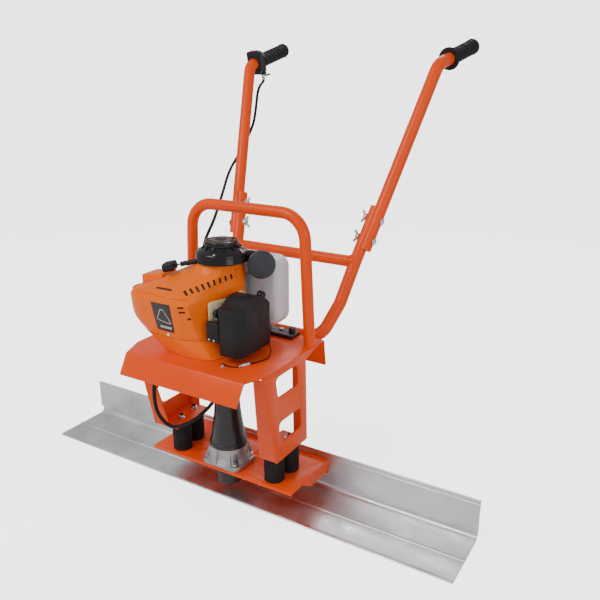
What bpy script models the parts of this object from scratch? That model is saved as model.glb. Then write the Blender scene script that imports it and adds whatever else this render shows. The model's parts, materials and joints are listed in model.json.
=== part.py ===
"""Walk-behind power screed: aluminium blade, vertical-crank engine on a folded
deck, rubber-mounted legs, guard hoop and two bolted handles. Metres, +Z up.
The origin is the middle of the blade's sole, the blade runs along X, and the
operator stands on the +Y side."""
import math

import bmesh
import bpy
from mathutils import Matrix, Vector

GAP = 0.0003

# Driving dimensions
BLADE_LENGTH = 1.200
BLADE_DEPTH = 0.171
BLADE_HEIGHT = 0.103
BLADE_WALL = 0.004
BLADE_BEND = 0.018
DECK_TOP = 0.400
DECK_HALF = 0.188
DECK_FRONT = -0.206
DECK_BACK = 0.096
SHEET = 0.004
PLATE_TOP = 0.086
PLATE_HALF = 0.212
PLATE_FRONT = -0.094
AXIS_X = 0.0
AXIS_Y = -0.050
TUBE_R = 0.016
HOOP_R = 0.0138
FOOT_TOP = 0.170
SHAFT_R = 0.006
CRANK_R = 0.009
STARTER_BASE = 0.606

# Bolt and mount positions, pivots and directions
FLANGE_BOLTS = (-0.120, 0.120)
ISOLATOR_SPOTS = ((-0.142, -0.060), (0.142, -0.060), (-0.148, -0.003), (0.148, -0.003))
ISOLATOR_R = 0.0245
GEARBOX_BOLTS = tuple((AXIS_X + a * 0.041, AXIS_Y + b * 0.0325) for a in (-1, 1) for b in (-1, 1))
HOOP_Y = 0.046
HANDLE_SLOPE = Vector((0.195, 0.477, 1.0))
HANDLE_FOOT = Vector((0.2019, 0.274, 0.585))
HANDLE_BEND = HANDLE_FOOT + HANDLE_SLOPE * 0.4447
SADDLE_SHIFT = Vector((-0.0115, 0.0, 0.0022))
SADDLE_BOLTS = (0.024, 0.072)
GRIP_DIRECTION = Vector((0.0125, 0.1514, 0.0352)).normalized()
GRIP_START = 0.062
GRIP_LENGTH = 0.150
LEVER_PIVOT = Vector((-0.0270, 0.0, 0.0190))
ROPE_AXIS = Vector((-0.905, -0.3626, -0.22)).normalized()
ROPE_SEAT = Vector((-0.0850, -0.1132, 0.5960))
CAP_AXIS = Vector((0.50, -0.80, 0.20)).normalized()
CHOKE_SEAT = Vector((0.0900, -0.0340, 0.5218))
CHOKE_AXIS = Vector((0.0, 0.65, 0.76)).normalized()
SIDE_RUN = Vector((0.3385, 0.9410, 0.0)).normalized()
INTAKE_SEAT = Vector((0.0325, -0.1139, 0.505))

BLADE_BACK = BLADE_DEPTH / 2
DECK_UNDER = DECK_TOP - SHEET
DECK_SEAT = DECK_TOP + GAP

for old in list(bpy.data.objects):
    bpy.data.objects.remove(old)


# ---------------------------------------------------------------- materials
def finish(name, colour, roughness, metallic=0.0):
    mat = bpy.data.materials.new(name)
    mat.use_nodes = True
    shader = mat.node_tree.nodes["Principled BSDF"]
    shader.inputs["Base Color"].default_value = (*colour, 1.0)
    shader.inputs["Roughness"].default_value = roughness
    shader.inputs["Metallic"].default_value = metallic
    return mat


ORANGE = finish("orange_powder_coat", (0.90, 0.16, 0.02), 0.35)
SHELL = finish("orange_gloss_shell", (0.95, 0.22, 0.01), 0.22)
ALUMINIUM = finish("mill_aluminium", (0.66, 0.66, 0.68), 0.35, 1.0)
CAST = finish("cast_aluminium", (0.52, 0.52, 0.53), 0.5, 1.0)
ZINC = finish("zinc_plate", (0.70, 0.71, 0.72), 0.3, 1.0)
STEEL = finish("dark_steel", (0.35, 0.35, 0.36), 0.35, 1.0)
RUBBER = finish("black_rubber", (0.02, 0.02, 0.02), 0.7)
BLACK = finish("black_plastic", (0.02, 0.02, 0.022), 0.35)
SATIN = finish("black_paint", (0.015, 0.015, 0.016), 0.4)
TANK = finish("white_tank", (0.82, 0.83, 0.85), 0.3)
CREAM = finish("cream_insulator", (0.78, 0.70, 0.45), 0.5)
RED = finish("red_rocker", (0.75, 0.02, 0.02), 0.3)


# ------------------------------------------------------------- shape helpers
def place(name, bm, mat, matrix=None, smooth=True):
    """Turn a bmesh into a named object, facing out, at a world matrix."""
    bmesh.ops.recalc_face_normals(bm, faces=bm.faces)
    mesh = bpy.data.meshes.new(name)
    bm.to_mesh(mesh)
    bm.free()
    mesh.materials.append(mat)
    if smooth:
        mesh.shade_smooth()
        mesh.set_sharp_from_angle(angle=math.radians(35))
    obj = bpy.data.objects.new(name, mesh)
    bpy.context.collection.objects.link(obj)
    if matrix is not None:
        obj.matrix_world = matrix
    return obj


def prism_mesh(outline, low, high, axis="Z"):
    """Extrude an outline along an axis. The outline's pairs are (x, y) for Z,
    (y, z) for X and (x, z) for Y."""
    bm = bmesh.new()
    rings = []
    for height in (low, high):
        ring = []
        for a, b in outline:
            point = {"Z": (a, b, height), "X": (height, a, b), "Y": (a, height, b)}[axis]
            ring.append(bm.verts.new(point))
        rings.append(ring)
    count = len(outline)
    bm.faces.new(rings[0])
    bm.faces.new(rings[1])
    for i in range(count):
        j = (i + 1) % count
        bm.faces.new((rings[0][i], rings[0][j], rings[1][j], rings[1][i]))
    return bm


def prism(name, outline, low, high, mat, axis="Z", matrix=None):
    return place(name, prism_mesh(outline, low, high, axis), mat, matrix, smooth=False)


def box(name, low, high, mat, matrix=None):
    outline = [(low[0], low[1]), (high[0], low[1]), (high[0], high[1]), (low[0], high[1])]
    return prism(name, outline, low[2], high[2], mat, "Z", matrix)


def rounded(outline, radius, steps=3):
    """Round each corner of an outline with an arc of the given radius."""
    result = []
    count = len(outline)
    for i in range(count):
        corner = Vector(outline[i])
        before = (Vector(outline[i - 1]) - corner).normalized()
        after = (Vector(outline[(i + 1) % count]) - corner).normalized()
        half = before.angle(after) / 2
        reach = radius / math.tan(half)
        centre = corner + (before + after).normalized() * radius / math.sin(half)
        start = corner + before * reach - centre
        end = corner + after * reach - centre
        for k in range(steps + 1):
            arm = start.lerp(end, k / steps).normalized() * radius
            result.append(tuple(centre + arm))
    return result


def circle(radius, count, centre=(0, 0), turn=0.0):
    points = []
    for k in range(count):
        angle = math.tau * k / count + turn
        points.append((centre[0] + radius * math.cos(angle), centre[1] + radius * math.sin(angle)))
    return points


def lathe(name, profile, mat, matrix=None, count=32, ring=False):
    """Spin (radius, height) pairs about local Z. A ring closes on itself;
    any other profile starts and ends on the axis."""
    bm = bmesh.new()
    rows = []
    for radius, height in profile:
        if radius < 1e-7:
            rows.append([bm.verts.new((0, 0, height))])
        else:
            rows.append([bm.verts.new((x, y, height)) for x, y in circle(radius, count)])
    pairs = list(zip(rows, rows[1:]))
    if ring:
        pairs.append((rows[-1], rows[0]))
    for lower, upper in pairs:
        for k in range(count):
            n = (k + 1) % count
            corners = [lower[k % len(lower)], lower[n % len(lower)],
                       upper[n % len(upper)], upper[k % len(upper)]]
            unique = list(dict.fromkeys(corners))
            if len(unique) > 2:
                bm.faces.new(unique)
    return place(name, bm, mat, matrix)


def aim(origin, direction):
    """World matrix whose local Z points along a direction."""
    turn = Vector((0, 0, 1)).rotation_difference(Vector(direction).normalized())
    return Matrix.Translation(origin) @ turn.to_matrix().to_4x4()


def level(origin, direction):
    """World matrix with local Z along a direction and local Y as upright as
    it can be."""
    z = Vector(direction).normalized()
    x = Vector((0, 0, 1)).cross(z).normalized()
    y = z.cross(x)
    turn = Matrix((x, y, z)).transposed()
    return Matrix.Translation(origin) @ turn.to_4x4()


def bend_path(corners, radius, steps=5):
    """Points of a tube's centre line with each corner bent to a radius."""
    points = [Vector(corners[0])]
    for before, here, after in zip(corners, corners[1:], corners[2:]):
        here = Vector(here)
        back = (Vector(before) - here).normalized()
        ahead = (Vector(after) - here).normalized()
        half = back.angle(ahead) / 2
        reach = radius / math.tan(half)
        centre = here + (back + ahead).normalized() * radius / math.sin(half)
        start = here + back * reach - centre
        end = here + ahead * reach - centre
        turn = start.angle(end)
        for k in range(steps + 1):
            t = k / steps
            arm = (start * math.sin((1 - t) * turn) + end * math.sin(t * turn)) / math.sin(turn)
            points.append(centre + arm)
    points.append(Vector(corners[-1]))
    return points


def smooth_path(points, per_span=4):
    """Catmull-Rom curve through the points, for a cable."""
    pts = [Vector(p) for p in points]
    pts = [pts[0] * 2 - pts[1]] + pts + [pts[-1] * 2 - pts[-2]]
    result = []
    for a, b, c, d in zip(pts, pts[1:], pts[2:], pts[3:]):
        for k in range(per_span):
            t = k / per_span
            result.append(0.5 * ((2 * b) + (c - a) * t + (2 * a - 5 * b + 4 * c - d) * t * t
                                 + (3 * b - a - 3 * c + d) * t ** 3))
    result.append(pts[-2])
    return result


def sweep(name, points, radius, mat, sides=14):
    """Round bar along a path, with flat ends; its frame is carried along."""
    bm = bmesh.new()
    rings = []
    tangent = (points[1] - points[0]).normalized()
    side = tangent.orthogonal().normalized()
    for i, point in enumerate(points):
        ahead = points[min(i + 1, len(points) - 1)] - point
        behind = point - points[max(i - 1, 0)]
        new = (ahead.normalized() + behind.normalized()).normalized()
        side = (tangent.rotation_difference(new) @ side).normalized()
        tangent = new
        up = tangent.cross(side)
        rings.append([bm.verts.new(point + (side * a + up * b)) for a, b in circle(radius, sides)])
    for lower, upper in zip(rings, rings[1:]):
        for k in range(sides):
            n = (k + 1) % sides
            bm.faces.new((lower[k], lower[n], upper[n], upper[k]))
    bm.faces.new(rings[0])
    bm.faces.new(rings[-1])
    return place(name, bm, mat)


def hide(tool):
    tool.hide_render = True
    tool.display_type = "WIRE"
    return tool


def boolean(target, tool, operation):
    mod = target.modifiers.new(operation.lower(), "BOOLEAN")
    mod.operation = operation
    mod.object = hide(tool)
    mod.solver = "EXACT"


def cut(target, *tools):
    for tool in tools:
        boolean(target, tool, "DIFFERENCE")


def weld(target, *tools):
    for tool in tools:
        boolean(target, tool, "UNION")


def rod(name, start, end, radius, mat, count=12):
    """Plain cylinder between two points."""
    start = Vector(start)
    end = Vector(end)
    length = (end - start).length
    profile = [(0, 0), (radius, 0), (radius, length), (0, length)]
    return lathe(name, profile, mat, aim(start, end - start), count)


def hex_bolt(name, origin, direction, radius, grip, head=0.0055, nut=0.0):
    """Hexagon head outside the origin, shank along the direction for the
    grip length and, if wanted, a nut after it, all one solid."""
    flat = radius * 1.9
    shank_end = grip + (nut + 0.003 if nut else 0)
    body = lathe(name, [(0, -0.001), (radius, -0.001), (radius, shank_end), (0, shank_end)],
                 ZINC, aim(origin, direction), 16)
    hexagon = place(name + "_head", prism_mesh(circle(flat, 6), -head, -GAP), ZINC,
                    aim(origin, direction), smooth=False)
    weld(body, hexagon)
    if nut:
        lock = place(name + "_nut", prism_mesh(circle(flat, 6), grip + GAP, grip + GAP + nut), ZINC,
                     aim(origin, direction), smooth=False)
        weld(body, lock)
    return body


AXIS = Matrix.Translation((AXIS_X, AXIS_Y, 0))


# -------------------------------------------------------------------- blade
def make_blade():
    """Folded aluminium blade: flat sole with a stiffening rib, a rounded
    bend and an upright flange that is a little longer than the sole."""
    t = BLADE_WALL
    r = BLADE_BEND
    front = -BLADE_BACK
    rib = -0.007
    outer = [(front, 0.0)]
    for k in range(5):
        angle = math.radians(-90 + 22.5 * k)
        outer.append((BLADE_BACK - r + r * math.cos(angle), r + r * math.sin(angle)))
    outer += [(BLADE_BACK, BLADE_HEIGHT), (BLADE_BACK - t, BLADE_HEIGHT)]
    for k in range(5):
        angle = math.radians(-22.5 * k)
        outer.append((BLADE_BACK - r + (r - t) * math.cos(angle), r + (r - t) * math.sin(angle)))
    outer += [(rib + 0.004, t), (rib + 0.002, t + 0.0025), (rib - 0.002, t + 0.0025), (rib - 0.004, t),
              (front + 0.008, t), (front, t - 0.0025)]
    half = BLADE_LENGTH / 2
    blade = prism("blade", outer, -half, half, ALUMINIUM, "X")
    notch = box("blade_end_notch", (-half - 0.01, front - 0.01, -0.01),
                (-half + 0.009, BLADE_BACK + 0.01, 0.020),
                ALUMINIUM)
    cut(blade, notch)
    for i, x in enumerate(FLANGE_BOLTS):
        hole = rod("flange_hole_%d" % (i + 1), (x, BLADE_BACK - 0.02, 0.066), (x, BLADE_BACK + 0.02, 0.066),
                   0.0044, ALUMINIUM)
        cut(blade, hole)


# --------------------------------------------------------------- base plate
def make_base_plate():
    """Folded base plate: flat top, rear flap bolted to the blade's flange
    and a tapered flap at each end."""
    t = SHEET
    back = BLADE_BACK - BLADE_WALL - GAP
    plate = box("base_plate", (-PLATE_HALF, PLATE_FRONT, PLATE_TOP - t), (PLATE_HALF, back, PLATE_TOP),
                ORANGE)
    rear = box("base_plate_rear", (-PLATE_HALF, back - t, 0.046), (PLATE_HALF, back, PLATE_TOP - 0.001),
               ORANGE)
    lip = box("base_plate_lip", (-PLATE_HALF, PLATE_FRONT, PLATE_TOP - 0.008),
              (PLATE_HALF, PLATE_FRONT + 0.003, PLATE_TOP - 0.001), ORANGE)
    weld(plate, rear, lip)
    for side in (-1, 1):
        outline = [(-0.052, PLATE_TOP - 0.001), (-0.003, 0.055), (back - 0.001, 0.055),
                   (back - 0.001, PLATE_TOP - 0.001)]
        low, high = sorted((side * PLATE_HALF, side * (PLATE_HALF - t)))
        weld(plate, prism("base_plate_end_%d" % (side + 2), outline, low, high, ORANGE, "X"))
    cut(plate, rod("base_plate_bore", (AXIS_X, AXIS_Y, 0.06), (AXIS_X, AXIS_Y, 0.11), 0.026, ORANGE, 32))
    for i, (x, y) in enumerate(ISOLATOR_SPOTS):
        cut(plate, rod("isolator_hole_%d" % (i + 1), (x, y, 0.06), (x, y, 0.11), 0.0056, ORANGE))
    for i, (x, y) in enumerate(GEARBOX_BOLTS):
        cut(plate, rod("gearbox_hole_%d" % (i + 1), (x, y, 0.06), (x, y, 0.11), 0.0044, ORANGE))
    for i, x in enumerate(FLANGE_BOLTS):
        cut(plate, rod("rear_hole_%d" % (i + 1), (x, 0.06, 0.066), (x, 0.10, 0.066), 0.0044, ORANGE))
        hex_bolt("flange_bolt_%d" % (i + 1), (x, BLADE_BACK + GAP, 0.066), (0, -1, 0), 0.004, 0.0086,
                 nut=0.0065)


# ------------------------------------------------- gearbox, exciter and shaft
def make_gearbox():
    """Cast bearing housing on the base plate, held by four bolts."""
    base = PLATE_TOP + GAP
    foot = rounded([(-0.056, -0.0435), (0.056, -0.0435), (0.056, 0.0435), (-0.056, 0.0435)], 0.016)
    housing = place("gearbox_housing", prism_mesh(foot, base, base + 0.012), CAST, AXIS, smooth=False)
    barrel = [(0, base + 0.004), (0.043, base + 0.004), (0.043, base + 0.012), (0.042, base + 0.020),
              (0.042, base + 0.042), (0.046, base + 0.046), (0.046, base + 0.052), (0, base + 0.052)]
    weld(housing, lathe("gearbox_barrel", barrel, CAST, AXIS, 28))
    bore = [(0, base - 0.01), (0.0185, base - 0.01), (0.0185, base + 0.06), (0, base + 0.06)]
    cut(housing, lathe("gearbox_bore", bore, CAST, AXIS, 32))
    for i, (x, y) in enumerate(GEARBOX_BOLTS):
        cut(housing, rod("housing_hole_%d" % (i + 1), (x, y, base - 0.01), (x, y, base + 0.03), 0.0044, CAST))
        pocket = rod("bolt_pocket_%d" % (i + 1), (x, y, base + 0.0122), (x, y, base + 0.06), 0.0105, CAST, 20)
        cut(housing, pocket)
        hex_bolt("gearbox_bolt_%d" % (i + 1), (x, y, base + 0.0122 + GAP), (0, 0, -1), 0.004, 0.0168,
                 nut=0.006)
    low = base + 0.020
    profile = [(SHAFT_R + GAP, low), (0.0185 - GAP, low), (0.0185 - GAP, low + 0.014),
               (SHAFT_R + GAP, low + 0.014)]
    lathe("shaft_bearing", profile, STEEL, AXIS, 32, ring=True)


def make_exciter():
    """Can under the plate with the unbalanced weight on the drive shaft."""
    top = PLATE_TOP - SHEET - GAP
    wall = 0.003
    can = [(0, 0.034), (0.030, 0.034), (0.033, 0.038), (0.033, top), (0.029, top), (0.029, 0.038 + wall),
           (0.027, 0.034 + wall), (0, 0.034 + wall)]
    lathe("exciter_can", can, SATIN, AXIS, 32)
    lathe("drive_shaft", [(0, 0.044), (SHAFT_R, 0.044), (SHAFT_R, 0.404), (0, 0.404)], STEEL, AXIS, 24)
    half = [(0.0, -0.011)]
    for k in range(13):
        angle = math.radians(-90 + 15 * k)
        half.append((0.021 * math.cos(angle), 0.021 * math.sin(angle)))
    half.append((0.0, 0.011))
    for k in range(9):
        angle = math.radians(90 + 22.5 * k)
        half.append((0.011 * math.cos(angle), 0.011 * math.sin(angle)))
    outline = list(dict.fromkeys((round(a, 6), round(b, 6)) for a, b in half))
    weight = place("eccentric_weight", prism_mesh(outline, 0.046, 0.070), STEEL, AXIS, smooth=False)
    cut(weight, lathe("weight_bore", [(0, 0.04), (SHAFT_R + GAP, 0.04), (SHAFT_R + GAP, 0.08), (0, 0.08)],
                      STEEL, AXIS, 24))


def make_drive_tube():
    """Tapered black tube between the bearing housing and the deck."""
    low = PLATE_TOP + 0.0526
    high = DECK_UNDER - GAP
    outer = [(0.046, low), (0.046, low + 0.010), (0.031, 0.262), (0.031, high)]
    inner = [(r - 0.004, z) for r, z in reversed(outer)]
    lathe("drive_tube", outer + inner, SATIN, AXIS, 28, ring=True)


# ------------------------------------------------------ isolators, legs, deck
def make_isolators():
    """Rubber mounts with a moulded-in stud at each end."""
    low = PLATE_TOP + GAP
    high = FOOT_TOP - SHEET - GAP
    stud = 0.005
    profile = [(0, low - 0.012), (stud, low - 0.012), (stud, low), (ISOLATOR_R, low), (ISOLATOR_R, high),
               (stud, high), (stud, high + 0.014), (0, high + 0.014)]
    for i, (x, y) in enumerate(ISOLATOR_SPOTS):
        lathe("isolator_%d" % (i + 1), profile, RUBBER, Matrix.Translation((x, y, 0)), 20)


def make_leg(name, side):
    """Folded leg: outer sheet with two windows, front and back flanges and a
    foot on two isolators."""
    face = DECK_HALF - 0.004
    t = SHEET
    foot = FOOT_TOP - t
    top = DECK_UNDER - GAP
    outline = [(-0.112, foot), (0.022, foot), (0.016, 0.377), (0.090, top), (-0.163, top)]
    low, high = sorted((side * face, side * (face - t)))
    leg = prism(name, outline, low, high, ORANGE, "X")
    inner = face - 0.001
    low, high = sorted((side * inner, side * (face - 0.070)))
    sole = [(-0.109, foot), (0.0215, foot), (0.0213, FOOT_TOP), (-0.110, FOOT_TOP)]
    weld(leg, prism(name + "_foot", sole, low, high, ORANGE, "X"))
    low, high = sorted((side * inner, side * (face - 0.050)))
    front = [(-0.1115, foot + 0.001), (-0.1075, foot + 0.001), (-0.157, top - 0.006), (-0.161, top - 0.006)]
    flange = prism(name + "_front", front, low, high, ORANGE, "X")
    slope = 0.024
    edge = side * (face - 0.050)
    taper = [(edge - side * 0.02, foot - 0.01), (edge, foot - 0.01), (edge + side * slope, top),
             (edge + side * slope, top + 0.01), (edge - side * 0.02, top + 0.01)]
    cut(flange, prism(name + "_taper", taper, -0.20, 0.0, ORANGE, "Y"))
    weld(leg, flange)
    low, high = sorted((side * inner, side * (face - 0.036)))
    back = [(0.0215, foot + 0.001), (0.0175, foot + 0.001), (0.0118, 0.372), (0.0158, 0.372)]
    weld(leg, prism(name + "_back", back, low, high, ORANGE, "X"))
    windows = ([(-0.113, 0.378), (-0.020, 0.378), (-0.016, 0.327), (-0.103, 0.327)],
               [(-0.101, 0.264), (-0.008, 0.264), (-0.005, 0.211), (-0.095, 0.211)])
    for i, window in enumerate(windows):
        low, high = sorted((side * (face + 0.01), side * (face - 0.02)))
        cut(leg, prism("%s_window_%d" % (name, i + 1), rounded(window, 0.011), low, high, ORANGE, "X"))
    for i, (x, y) in enumerate(ISOLATOR_SPOTS):
        if x * side > 0:
            hole = rod("%s_hole_%d" % (name, i + 1), (x, y, foot - 0.01), (x, y, FOOT_TOP + 0.01), 0.0056,
                       ORANGE)
            cut(leg, hole)


def make_deck():
    """Folded deck sheet with a sloping front apron, a back flap and a bore
    for the drive tube."""
    t = SHEET
    corner = 0.166
    outline = [(-corner, DECK_FRONT), (corner, DECK_FRONT), (DECK_HALF, -0.146), (DECK_HALF, DECK_BACK),
               (-DECK_HALF, DECK_BACK), (-DECK_HALF, -0.146)]
    deck = prism("deck", outline, DECK_UNDER, DECK_TOP, ORANGE)
    apron = [(DECK_FRONT, DECK_TOP), (DECK_FRONT + 0.004, DECK_UNDER),
             (DECK_FRONT - 0.0245, DECK_TOP - 0.048),
             (DECK_FRONT - 0.028, DECK_TOP - 0.0465)]
    weld(deck, prism("deck_apron", apron, -corner + 0.0005, corner - 0.0005, ORANGE, "X"))
    flap = [(DECK_BACK, DECK_TOP), (DECK_BACK - 0.004, DECK_UNDER), (DECK_BACK + 0.008, DECK_TOP - 0.070),
            (DECK_BACK + 0.012, DECK_TOP - 0.070)]
    weld(deck, prism("deck_flap", flap, -DECK_HALF + 0.0005, DECK_HALF - 0.0005, ORANGE, "X"))
    cut(deck, rod("deck_bore", (AXIS_X, AXIS_Y, 0.38), (AXIS_X, AXIS_Y, 0.42), 0.026, ORANGE, 32))


# ------------------------------------------------------------ tubular frames
def mirrored(vector, side):
    return Vector((vector.x * side, vector.y, vector.z))


def make_hoop():
    """Guard hoop welded to the deck on both sides of the engine."""
    corners = [(-0.176, HOOP_Y, DECK_SEAT), (-0.160, HOOP_Y, 0.709), (0.160, HOOP_Y, 0.709),
               (0.176, HOOP_Y, DECK_SEAT)]
    path = bend_path(corners, 0.062, 7)
    hoop = sweep("guard_hoop", path, HOOP_R, ORANGE, 14)
    cut(hoop, box("hoop_trim", (-0.3, HOOP_Y - 0.1, 0.30), (0.3, HOOP_Y + 0.1, DECK_SEAT), ORANGE))


def make_rear_frame():
    """U-shaped tube behind the deck that rises to the handle saddles, with a
    crossbar. Each upper end is cut to a half-round saddle for the handle."""
    saddle_low = HANDLE_FOOT + SADDLE_SHIFT
    saddle_top = saddle_low + HANDLE_SLOPE * 0.100
    knee = Vector((0.176, 0.196, 0.462))
    corner = Vector((0.158, 0.126, 0.386))
    right = [corner, knee, saddle_low - HANDLE_SLOPE * 0.030, saddle_top]
    left = [mirrored(p, -1) for p in reversed(right)]
    path = bend_path(left + right, 0.045, 5)
    frame = sweep("rear_frame", path, TUBE_R, ORANGE, 16)
    bar_y = 0.2547
    bar_z = 0.556
    bar = rod("crossbar", (-0.186, bar_y, bar_z), (0.186, bar_y, bar_z), 0.0150, ORANGE, 16)
    weld(frame, bar)
    for side in (-1, 1):
        start = mirrored(HANDLE_FOOT, side)
        along = mirrored(HANDLE_SLOPE, side)
        groove = rod("saddle_groove_%d" % (side + 2), start - along.normalized() * GAP, start + along * 0.2,
                     TUBE_R + GAP, ORANGE, 20)
        cut(frame, groove)
        for index, share in enumerate(SADDLE_BOLTS):
            centre = start + along * share
            across = bolt_direction(side)
            hole = rod("saddle_hole_%d_%d" % (side + 2, index), centre - across * 0.05,
                       centre + across * 0.05,
                       0.0044, ORANGE, 16)
            cut(frame, hole)


def bolt_direction(side):
    """Unit vector across the handle, from the outside of the machine in."""
    along = HANDLE_SLOPE.normalized()
    inward = Vector((-1, 0, 0))
    inward = (inward - along * inward.dot(along)).normalized()
    return mirrored(inward, side)


def make_handle(name, side):
    """Upper handle tube: straight, splayed outward, bent back at the grip."""
    end = HANDLE_BEND + GRIP_DIRECTION * (GRIP_START + GRIP_LENGTH)
    corners = [mirrored(p, side) for p in (HANDLE_FOOT, HANDLE_BEND, end)]
    handle = sweep(name, bend_path(corners, 0.040, 6), TUBE_R, ORANGE, 16)
    across = bolt_direction(side)
    for index, share in enumerate(SADDLE_BOLTS):
        centre = mirrored(HANDLE_FOOT + HANDLE_SLOPE * share, side)
        hole = rod("%s_hole_%d" % (name, index), centre - across * 0.05, centre + across * 0.05, 0.0044,
                   ORANGE, 16)
        cut(handle, hole)
        label = "left" if side < 0 else "right"
        place_index = index + 1
        profile = [(0, -0.0040), (0.006, -0.0036), (0.0095, -0.0014), (0.0098, 0), (0.004, 0), (0.004, 0.054),
                   (0, 0.054)]
        start = centre - across * (TUBE_R + GAP)
        lathe("%s_handle_bolt_%d" % (label, place_index), profile, ZINC, aim(start, across), 20)
        make_wing_nut("%s_wing_nut_%d" % (label, place_index), centre + across * 0.0285, across)


def make_wing_nut(name, origin, direction):
    """Wing nut: tapered hub with two upright wings, bored for the bolt."""
    matrix = aim(origin, direction)
    nut = lathe(name, [(0, 0), (0.0085, 0), (0.0070, 0.008), (0, 0.008)], ZINC, matrix, 20)
    wings = [(-0.006, 0.001), (0.006, 0.001), (0.017, 0.012), (0.015, 0.015), (0.009, 0.014), (0.003, 0.007),
             (-0.003, 0.007), (-0.009, 0.014), (-0.015, 0.015), (-0.017, 0.012)]
    blade = place(name + "_wings", prism_mesh(wings, -0.0014, 0.0014, "Y"), ZINC, matrix, smooth=False)
    weld(nut, blade)
    bore = lathe(name + "_bore", [(0, -0.01), (0.0043, -0.01), (0.0043, 0.03), (0, 0.03)], ZINC, matrix, 20)
    cut(nut, bore)


def make_grip(name, side):
    """Ribbed rubber grip with an inner flange and a bulged end."""
    start = mirrored(HANDLE_BEND + GRIP_DIRECTION * GRIP_START, side)
    length = GRIP_LENGTH + 0.006
    flange = 0.029 if side > 0 else 0.022
    outer = [(TUBE_R + GAP, 0), (flange, 0), (flange, 0.004), (0.0195, 0.007)]
    ribs = 6
    first = 0.022
    pitch = (length - 0.022 - first) / ribs
    for k in range(ribs):
        z = first + pitch * k
        outer += [(0.0190, z), (0.0202, z + pitch * 0.35), (0.0202, z + pitch * 0.65)]
    outer += [(0.0195, length - 0.020), (0.0215, length - 0.012), (0.0205, length - 0.003), (0.015, length),
              (0, length), (0, GRIP_LENGTH + GAP), (TUBE_R + GAP, GRIP_LENGTH + GAP)]
    lathe(name, outer, RUBBER, aim(start, mirrored(GRIP_DIRECTION, side)), 16, ring=True)


# -------------------------------------------------------- controls, left side
def make_controls():
    """Kill-switch box and throttle clamp on the left handle, with their
    rocker and lever."""
    along = mirrored(GRIP_DIRECTION, -1)
    origin = mirrored(HANDLE_BEND, -1)
    frame = level(origin + along * 0.0345, along) @ Matrix.Rotation(math.pi / 2, 4, "Z")
    bore = TUBE_R + GAP

    def clamp_block(name, low, high, mat=BLACK):
        outline = rounded([(low[0], low[1]), (high[0], low[1]), (high[0], high[1]), (low[0], high[1])],
                          0.004, 2)
        return place(name, prism_mesh(outline, low[2], high[2]), mat, frame, smooth=False)

    housing = clamp_block("switch_box", (-0.024, -0.021, -0.012), (0.034, 0.021, 0.010))
    round_bore = [(0, -0.03), (bore, -0.03), (bore, 0.05), (0, 0.05)]
    cut(housing, lathe("switch_box_bore", round_bore, BLACK, frame, 20))
    cut(housing, box("switch_window", (0.026, -0.0098, -0.0075), (0.040, 0.0098, 0.0055), BLACK, frame))
    pivot = frame @ Matrix.Translation((0.0330, 0, -0.001)) @ Matrix.Rotation(math.pi / 2, 4, "Y")
    rocker_outline = [(-0.0085, -0.0005), (0, -0.0035), (0.0085, -0.0005), (0.0085, 0.0030), (0.0010, 0.0015),
                      (-0.0085, 0.0042)]
    rocker = prism_mesh([(a, b) for a, b in rocker_outline], -0.0058, 0.0058, "X")
    place("switch_rocker", rocker, RED, pivot, smooth=False)
    clamp = clamp_block("throttle_housing", (-0.036, -0.020, 0.0104), (0.022, 0.020, 0.0254))
    cut(clamp, lathe("throttle_bore", round_bore, BLACK, frame, 20))
    cut(clamp, box("lever_slot", (-0.040, -0.003, 0.0134), (-0.0200, 0.003, 0.030), BLACK, frame))
    return frame


def make_lever(frame):
    """Throttle finger lever, hung under the grip on a cross pivot."""
    outline = [(-0.0320, 0.0140), (-0.0230, 0.0150), (-0.0230, 0.0240), (-0.0280, 0.0300), (-0.0400, 0.0420),
               (-0.0450, 0.0600), (-0.0470, 0.0780), (-0.0510, 0.0780), (-0.0500, 0.0560), (-0.0430, 0.0300),
               (-0.0350, 0.0190)]
    local = [(x - LEVER_PIVOT.x, z - LEVER_PIVOT.z) for x, z in outline]
    lever = prism_mesh(local, -0.0024, 0.0024, "Y")
    place("throttle_lever", lever, BLACK, frame @ Matrix.Translation(LEVER_PIVOT), smooth=False)


# -------------------------------------------------------------------- engine
def loft(name, sections, mat, wall):
    """Open shell through stacked outlines at given heights, thickened inward.
    A point may carry its own height instead."""
    bm = bmesh.new()
    rings = [[bm.verts.new(p if len(p) == 3 else (*p, z)) for p in outline] for z, outline in sections]
    for lower, upper in zip(rings, rings[1:]):
        count = len(lower)
        for k in range(count):
            n = (k + 1) % count
            bm.faces.new((lower[k], lower[n], upper[n], upper[k]))
    mesh = bpy.data.meshes.new(name)
    bm.to_mesh(mesh)
    bm.free()
    mesh.materials.append(mat)
    obj = bpy.data.objects.new(name, mesh)
    bpy.context.collection.objects.link(obj)
    mod = obj.modifiers.new("wall", "SOLIDIFY")
    mod.thickness = wall
    mod.offset = -1
    mod.use_even_offset = True
    return obj


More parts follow.
